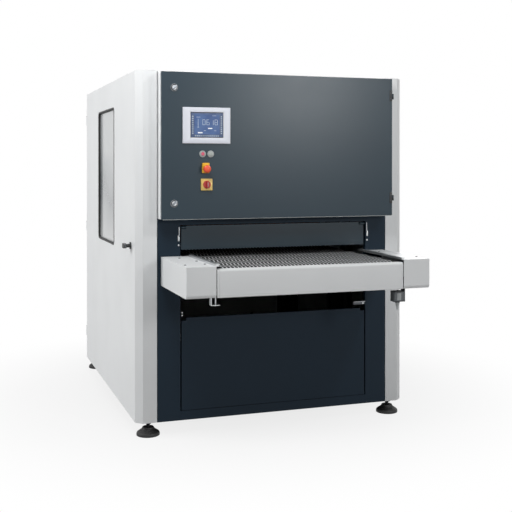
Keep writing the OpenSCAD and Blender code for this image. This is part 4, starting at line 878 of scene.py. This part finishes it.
class MACHINE_OT_door_edges(bpy.types.Operator):
    """Hinge leaves with their screws, and a light grey strip under the control door, a painted highlight along the
    door's lower edge
    """
    bl_idname = "machine.door_edges"
    bl_label = "Door edges"

    def execute(self, context):
        """Leaves are bevelled plates on the door's face; the lip is a thin rounded light grey strip along the lower
        edge, a painted highlight of that edge.
        """
        lo, hi = box_of("cabinet_door")
        edge, hinge_z = box_of("control_housing")[1][0], (lo[2] + 66 * MM, hi[2] - 122 * MM)
        parts = []
        screw = np.array([(0, 0), (3, 0), (3, 0.5), (2.2, 0.9), (0, 1)]) * MM
        for z in hinge_z:
            leaf = plate((edge - 15 * MM, lo[1] - 1.4 * MM, z), (edge + 0.6 * MM, lo[1] + 0.1 * MM, z + 60 * MM),
                         2 * MM, 0.5 * MM)
            parts.append((leaf, "black_polyamide"))
            for rise in (14, 46):
                place = (edge - 8 * MM, lo[1] - 1.3 * MM, z + rise * MM)
                parts.append((turned(screw, place, (0, -1, 0), 16), "dulled_zinc"))
        # painted highlight: a light grey strip stands in for light caught on the door's lower edge
        lip = plate((lo[0] + 6 * MM, lo[1] + 0.4 * MM, lo[2] - 2.6 * MM),
                    (edge - 6 * MM, lo[1] + 3.4 * MM, lo[2] + 0.2 * MM), 1.2 * MM, 0.6 * MM)
        parts.append((lip, "ring_grey_abs"))
        piece("door_edge_set", parts, "cabinet_door")
        return {"FINISHED"}


class MACHINE_OT_trip_bar(bpy.types.Operator):
    """Trip bar: folded sheet with a rounded top edge, set-back ends, ears and guide rods"""
    bl_idname = "machine.trip_bar"
    bl_label = "Trip bar"

    def execute(self, context):
        """Section (y, z): bottom return, small bend, front, top bend of radius R as R(1 - cos a, sin a), and lip."""
        lo, hi = box_of("trip_bar")
        front, low, top, t, big = lo[1], lo[2], hi[2], 2 * MM, 13 * MM
        rod_x, half = hi[0] - 5 * MM, box_of("infeed_cover_right")[0][0] - 4 * MM
        ear_high = box_of("trip_bar_bracket")[1][2]
        ear_low = ear_high - 24 * MM

        def sheet(x, back, drop):
            a = np.linspace(0, np.pi / 2, 10)
            y0, z0, z1 = front + back, low + drop, top - drop

            def line(d):
                r = 3 * MM - d
                low_bend = np.stack([y0 + d + r * (1 - np.sin(a)), z0 + d + r * (1 - np.cos(a))], 1)
                top_bend = np.stack([y0 + big - (big - d) * np.cos(a), z1 - big + (big - d) * np.sin(a)], 1)
                return np.concatenate([[(y0 + 38 * MM, z0 + d)], low_bend, top_bend, [(y0 + 30 * MM, z1 - d)]])

            outer, inner = line(0), line(t)
            loop = np.concatenate([outer, inner[::-1]])
            grid = np.stack([np.stack([0 * loop[:, 0] + v, loop[:, 0], loop[:, 1]], 1) for v in x])
            pts, faces = skin(grid, wrap_v=True)
            n, m = len(loop), len(outer)
            strips = [[k, k + 1, n - 2 - k, n - 1 - k] for k in range(m - 1)]
            return pts, faces + strips + [[v + n for v in f] for f in strips]

        parts = [(sheet((-half + 11 * MM, half - 11 * MM), 0, 0), "table_powder_coat")]
        for side in (-1, 1):
            x = sorted((side * (half - 11 * MM), side * half))
            parts.append((sheet(x, 1.4 * MM, 0.8 * MM), "table_powder_coat"))
            y_ear = hi[1] - 34 * MM
            x = sorted((side * (half - 20 * MM), side * (half - 2 * MM)))
            parts.append((bars((x[0], front + 3 * MM, ear_low), (x[1], y_ear, ear_high)), "zinc_plated_steel"))
            x = sorted((side * (half - 20 * MM), side * (rod_x + 5 * MM)))
            parts.append((bars((x[0], y_ear, ear_low), (x[1], y_ear + 3 * MM, ear_high)), "zinc_plated_steel"))
            rod = np.array([(0, 0), (5, 0), (5, 33), (4, 34), (0, 34)]) * MM
            parts.append((turned(rod, (side * rod_x, y_ear, ear_high), (0, 1, 0), 24), "bright_turned_steel"))
        piece("trip_bar_set", parts, "trip_bar", ("trip_bar",), sharp=28)
        return {"FINISHED"}


class MACHINE_OT_trip_switch(bpy.types.Operator):
    """Limit switch: moulded case with lid, label plate, screws, plunger, gland and its bracket"""
    bl_idname = "machine.trip_switch"
    bl_label = "Trip switch"

    def execute(self, context):
        """Case and lid are bevelled plates; the gland's cone is r = 11.5 - 0.33 h + 0.5 sin(2 pi h / 3.6), in mm."""
        lo, hi = box_of("trip_switch")
        x0, x1, y0, y1 = lo[0], lo[0] + 57 * MM, lo[1], hi[1]
        z0, z1 = lo[2] + 40 * MM, lo[2] + 93 * MM
        xm, ym = (x0 + x1) / 2, (y0 + y1) / 2
        case = plate((x0, y0 + 4 * MM, z0), (x1, y1, z1), 3 * MM, 1.2 * MM)
        lid = plate((x0 + 1 * MM, y0 + 0.6 * MM, z0 + 5 * MM), (x1 - 1 * MM, y0 + 4.6 * MM, z1 - 5 * MM),
                    3 * MM, 1 * MM)
        label = plate((xm - 12 * MM, y0, z0 + 8 * MM), (xm + 10 * MM, y0 + 1.2 * MM, z1 - 10 * MM), 2 * MM, 0.3 * MM)
        seam, rail = (plate((x0 + 0.6 * MM, y0 + 0.2 * MM, low), (x1 - 0.6 * MM, y0 + 4 * MM, high), 1 * MM, 0.3 * MM)
                      for low, high in ((z0 + 1.5 * MM, z0 + 4.5 * MM), (z1 - 5 * MM, z1 - 1 * MM)))
        screw = np.array([(0, 0), (2.4, 0), (2.4, 0.7), (1.8, 1.1), (0, 1.2)]) * MM
        screws = [(turned(screw, (x, y0 + 0.8 * MM, z), (0, -1, 0), 14), "dulled_zinc")
                  for z in (z0 + 11 * MM, z1 - 11 * MM) for x in (x0 + 6 * MM, x1 - 6 * MM)]
        h = np.linspace(6, 24, 40)
        cone = np.stack([11.5 - 0.33 * (h - 6) + 0.5 * np.sin((h - 6) * 2 * np.pi / 3.6), h], 1)
        profile = np.vstack([[(0, 5.5), (11.5, 5.5)], cone, [(5, 24), (5, 40), (0, 40)]]) * MM
        gland = turned(profile, (xm, ym, z0), (0, 0, -1), 32)
        hexagon = np.array([(0, -1), (11.4, -1), (12.4, 0), (12.4, 5), (11.4, 6), (0, 6)]) * MM
        nut = turned(hexagon, (xm, ym, z0), (0, 0, -1), 6)
        plunger = np.array([(0, -1), (6, -1), (6, 2), (4.2, 2), (4.2, 3), (3, 4), (0, 4)]) * MM
        tip = turned(plunger, (xm, ym, z1), (0, 0, 1), 24)
        arm = plate((x1, y0, z0), (hi[0], y1, hi[2]), 3 * MM, 0.6 * MM, axis=(1, 0, 0))
        piece("trip_switch_set", [(case, "grey_polyamide"), (lid, "grey_polyamide"), (label, "pale_label_plate"),
                                  (seam, "black_polyamide"), (rail, "black_polyamide"), (gland, "ring_grey_abs"),
                                  (nut, "grey_polyamide"), (tip, "black_polyamide"), (arm, "dulled_zinc")] + screws,
              "root", ("trip_switch",))
        return {"FINISHED"}


class MACHINE_OT_gland_plug(bpy.types.Operator):
    """Blanking plug in the mains gland, and the gland's ridged clamp nut"""
    bl_idname = "machine.gland_plug"
    bl_label = "Gland plug"

    def execute(self, context):
        """The plug is turned with a dished face; the nut's ridges follow r = r0 (1 + 0.025 cos(24 a))."""
        lo, hi = box_of("mains_gland")
        c = ((lo[0] + hi[0]) / 2, lo[1], (lo[2] + hi[2]) / 2)
        plug = np.array([(0, -1), (10.8, -1), (10.8, 33), (9.6, 34.2), (7, 34.6), (6, 33.2), (0, 32.8)]) * MM
        nut = np.array([(11, 25), (18.6, 25), (18.9, 26), (18.2, 34.6), (16.4, 35.9), (11, 35.9), (11, 25)]) * MM
        piece("gland_plug", [(turned(plug, c, (0, 1, 0), 32), "gasket_rubber"),
                             (turned(nut, c, (0, 1, 0), 96, 0.025, 24), "black_polyamide")], "root")
        return {"FINISHED"}


class MACHINE_OT_tools(bpy.types.Operator):
    """Serrated contact drum, brush roller of spiral tufts and finned head motors"""
    bl_idname = "machine.tools"
    bl_label = "Deburring tools"

    def execute(self, context):
        """Drum: r = R + d g(sin(n a + twist x)); brush: r = R - t g(sin(n a + twist x)); fins: r = R + f sin(n a)."""
        reach = box_of("contact_drum")[1][0]
        span, end = reach - 71 * MM, reach / MM
        a = np.linspace(0, 2 * np.pi, 288, endpoint=False)
        shaft = np.array([(0, -end), (24, -end), (25, 1 - end), (25, end - 1), (24, end), (0, end)]) * MM

        def roller(name, finish, slot, ends, radius, count):
            lo, hi = box_of(name)
            c = np.array([0, (lo[1] + hi[1]) / 2, (lo[2] + hi[2]) / 2])
            x = np.concatenate([[-span, -span], np.linspace(-span, span, count), [span, span]])
            r = np.concatenate([[0 * a, 0 * a + ends], radius(a[None, :], x[2:-2, None]), [0 * a + ends, 0 * a]])
            grid = np.stack([np.repeat(x[:, None], len(a), 1), c[1] + r * np.cos(a), c[2] + r * np.sin(a)], -1)
            parts = [(skin(grid, wrap_v=True), finish), (turned(shaft, c, (1, 0, 0), 40), "bright_turned_steel")]
            piece(name + "_surface", parts, name, (name,), sharp=28)

        def serration(angle, x):
            groove = np.clip(np.abs(np.sin(24 * angle + 40 * x)) * 3 - 0.6, 0, 1)
            return (86.4 + 3.5 * groove) * MM

        def tufts(angle, x):
            row = np.abs(np.sin(9 * angle + 26 * x))
            fray = 0.35 * np.sin(61 * angle + 900 * x) + 0.35 * np.sin(97 * angle - 1310 * x)
            return (124.2 - 9 * np.clip(1 - 3.2 * row, 0, 1) + fray) * MM

        roller("contact_drum", "drum_rubber", "drum_rubber", 0.06, serration, 96)
        roller("brush_roller", "abrasive_nylon_filament", "brush_fibre", 0.07, tufts, 220)
        lo, hi = box_of("head_motors")
        fins = []
        for body in ("contact_drum", "brush_roller"):
            b_lo, b_hi = box_of(body)
            c = np.array([lo[0], (b_lo[1] + b_hi[1]) / 2, (b_lo[2] + b_hi[2]) / 2])
            round_a = np.linspace(0, 2 * np.pi, 240, endpoint=False)
            h = np.array([0, 0, 11.9, 12.1, 12.2, 76, 76.4, 80, 97.5, 99.7, 99.7]) * MM
            base = np.array([0, 80.9, 80.9, 80.9, 75.5, 75.5, 78.5, 80, 79, 74, 0]) * MM
            fin = np.clip(6 * np.sin(40 * round_a), -4, 4.4)
            wave = np.array([0, 0, 0, 0, 1, 1, 0, 0, 0, 0, 0])[:, None] * fin[None, :] * MM
            r = base[:, None] + wave
            along = np.repeat((c[0] + h)[:, None], len(round_a), 1)
            grid = np.stack([along, c[1] + r * np.cos(round_a), c[2] + r * np.sin(round_a)], -1)
            fins.append((skin(grid, wrap_v=True), "motor_enamel"))
            rings = [np.array([(k, 0), (k + 3, 0), (k + 3, 0.25), (k, 0.25), (k, 0)]) * MM for k in range(14, 65, 10)]
            cowl = c + np.array([99.65 * MM, 0, 0])
            fins += [(turned(ring, cowl, (1, 0, 0), 48), "black_polyamide") for ring in rings]
        piece("motor_shells", fins, "head", ("head_motors",), sharp=28)
        return {"FINISHED"}


# ---------------------------------------------------------------- stage

def seen_rays(t):
    """1 for camera, glossy and transmission rays, which see the studio white; 0 for the rays that light the machine."""
    path = node(t, "ShaderNodeLightPath")
    eye_or_gloss = node(t, "ShaderNodeMath", {"operation": "MAXIMUM"},
                        {0: path.outputs["Is Camera Ray"], 1: path.outputs["Is Glossy Ray"]}).outputs[0]
    return node(t, "ShaderNodeMath", {"operation": "MAXIMUM"},
                {0: eye_or_gloss, 1: path.outputs["Is Transmission Ray"]}).outputs[0]


class MACHINE_OT_stage(bpy.types.Operator):
    """Camera, lamps, pale floor and world"""
    bl_idname = "machine.stage"
    bl_label = "Studio"

    def execute(self, context):
        scene = context.scene
        scene.view_settings.view_transform = "Standard"
        cam = bpy.data.cameras.new("camera")
        cam.sensor_width = 36.0
        cam.lens = 64.05
        cam.shift_x, cam.shift_y = -0.0145, -0.1699
        eye = bpy.data.objects.new("camera", cam)
        eye.location = (-1.6471, -5.4359, 1.3777)
        eye.rotation_euler = (math.pi / 2 - 0.0032, 0.0, -0.3333)
        scene.collection.objects.link(eye)
        scene.camera = eye

        for name, place, aim, size, power in (
                ("left_high", (-6.0, 0.6, 4.4), (-0.5, 0.0, 1.0), 3.0, 250),
                ("front_left_high", (-1.2, -2.2, 3.0), (-0.7, -0.9, 1.7), 0.8, 30),
                ("front_right_key", (1.8, -3.2, 3.3), (0.4, -0.9, 1.4), 0.4, 24),
                ("front_softbox", (2.1, -6.1, 2.35), (0.0, -0.95, 1.6), 0.9, 52),
                ("top_soft", (0.3, 0.8, 5.8), (0.0, 0.0, 1.0), 3.6, 30),
                ("back_right", (4.5, 4.5, 3.4), (0.3, 0.3, 1.0), 3.0, 90)):
            lamp = bpy.data.lights.new(name, "AREA")
            lamp.shape = "DISK"
            lamp.size = size
            lamp.energy = power
            o = bpy.data.objects.new(name, lamp)
            way = np.array(aim) - np.array(place)
            yaw = math.atan2(way[1], way[0]) - math.pi / 2
            pitch = math.atan2(way[2], math.hypot(way[0], way[1])) + math.pi / 2
            o.location = place
            o.rotation_euler = (pitch, 0.0, yaw)
            scene.collection.objects.link(o)

        m, t, s, obj = start("studio_floor", "#BEBEBE", 0.9)
        s.inputs["Specular IOR Level"].default_value = 0.1
        t.links.new(ramp(t, noise(t, obj, 900), [(0.3, "#BCBCBC"), (0.7, "#C0C0C0")]), s.inputs["Base Color"])
        far = node(t, "ShaderNodeVectorMath", {"operation": "LENGTH"}, {0: obj}).outputs["Value"]
        fade = node(t, "ShaderNodeMapRange", {"interpolation_type": "SMOOTHSTEP"}, {"Value": far},
                    From_Min=0.5, From_Max=2.2, To_Min=0.8, To_Max=1.0).outputs[0]
        seen = node(t, "ShaderNodeMath", {"operation": "MULTIPLY"}, {0: seen_rays(t), 1: fade}).outputs[0]
        white = node(t, "ShaderNodeEmission", Strength=1.0)
        white.inputs["Color"].default_value = (1, 1, 1, 1)
        mix = node(t, "ShaderNodeMixShader", None, {0: seen, 1: s.outputs[0], 2: white.outputs[0]})
        out = next(n for n in t.nodes if n.type == "OUTPUT_MATERIAL")
        t.links.new(mix.outputs[0], out.inputs[0])
        pts = np.array([(-30, -30, 0), (30, -30, 0), (30, 30, 0), (-30, 30, 0)], float)
        mesh = bpy.data.meshes.new("floor")
        mesh.from_pydata(pts.tolist(), [], [(0, 1, 2, 3)])
        mesh.materials.append(m)
        floor = bpy.data.objects.new("floor", mesh)
        scene.collection.objects.link(floor)

        world = bpy.data.worlds.new("studio")
        scene.world = world
        world.use_nodes = True
        t = world.node_tree
        t.nodes.clear()
        light = node(t, "ShaderNodeBackground", Strength=0.1)
        light.inputs["Color"].default_value = (1.0, 1.0, 1.0, 1)
        back = node(t, "ShaderNodeBackground", Strength=1.0)
        back.inputs["Color"].default_value = (1, 1, 1, 1)
        mix = node(t, "ShaderNodeMixShader", None, {0: seen_rays(t), 1: light.outputs[0], 2: back.outputs[0]})
        node(t, "ShaderNodeOutputWorld", None, {0: mix.outputs[0]})
        return {"FINISHED"}


class MACHINE_PT_panel(bpy.types.Panel):
    """Lists the pieces of the machine"""
    bl_idname = "MACHINE_PT_panel"
    bl_label = "Deburring machine"
    bl_space_type = "VIEW_3D"
    bl_region_type = "UI"
    bl_category = "Deburrer"

    def draw(self, context):
        for group in (context.scene.machine_colours, context.scene.machine_sizes):
            for key in group.__annotations__:
                self.layout.prop(group, key)
        for cls in OPERATORS:
            self.layout.operator(cls.bl_idname)


OPERATORS = (MACHINE_OT_finishes, MACHINE_OT_belt_tread, MACHINE_OT_cover_screws, MACHINE_OT_window_gasket,
             MACHINE_OT_display, MACHINE_OT_bezel, MACHINE_OT_push_buttons, MACHINE_OT_emergency_stop,
             MACHINE_OT_main_switch, MACHINE_OT_locks, MACHINE_OT_latches, MACHINE_OT_feet, MACHINE_OT_door_edges,
             MACHINE_OT_trip_bar, MACHINE_OT_trip_switch, MACHINE_OT_gland_plug, MACHINE_OT_tools, MACHINE_OT_stage)
CLASSES = (MachineColours, MachineSizes) + OPERATORS + (MACHINE_PT_panel,)


def register():
    for cls in CLASSES:
        bpy.utils.register_class(cls)
    bpy.types.Scene.machine_colours = bpy.props.PointerProperty(type=MachineColours)
    bpy.types.Scene.machine_sizes = bpy.props.PointerProperty(type=MachineSizes)


def unregister():
    del bpy.types.Scene.machine_sizes
    del bpy.types.Scene.machine_colours
    for cls in reversed(CLASSES):
        bpy.utils.unregister_class(cls)


def main():
    """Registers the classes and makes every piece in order."""
    register()
    for cls in OPERATORS:
        group, action = cls.bl_idname.split(".")
        getattr(getattr(bpy.ops, group), action)()


if __name__ == "__main__":
    main()
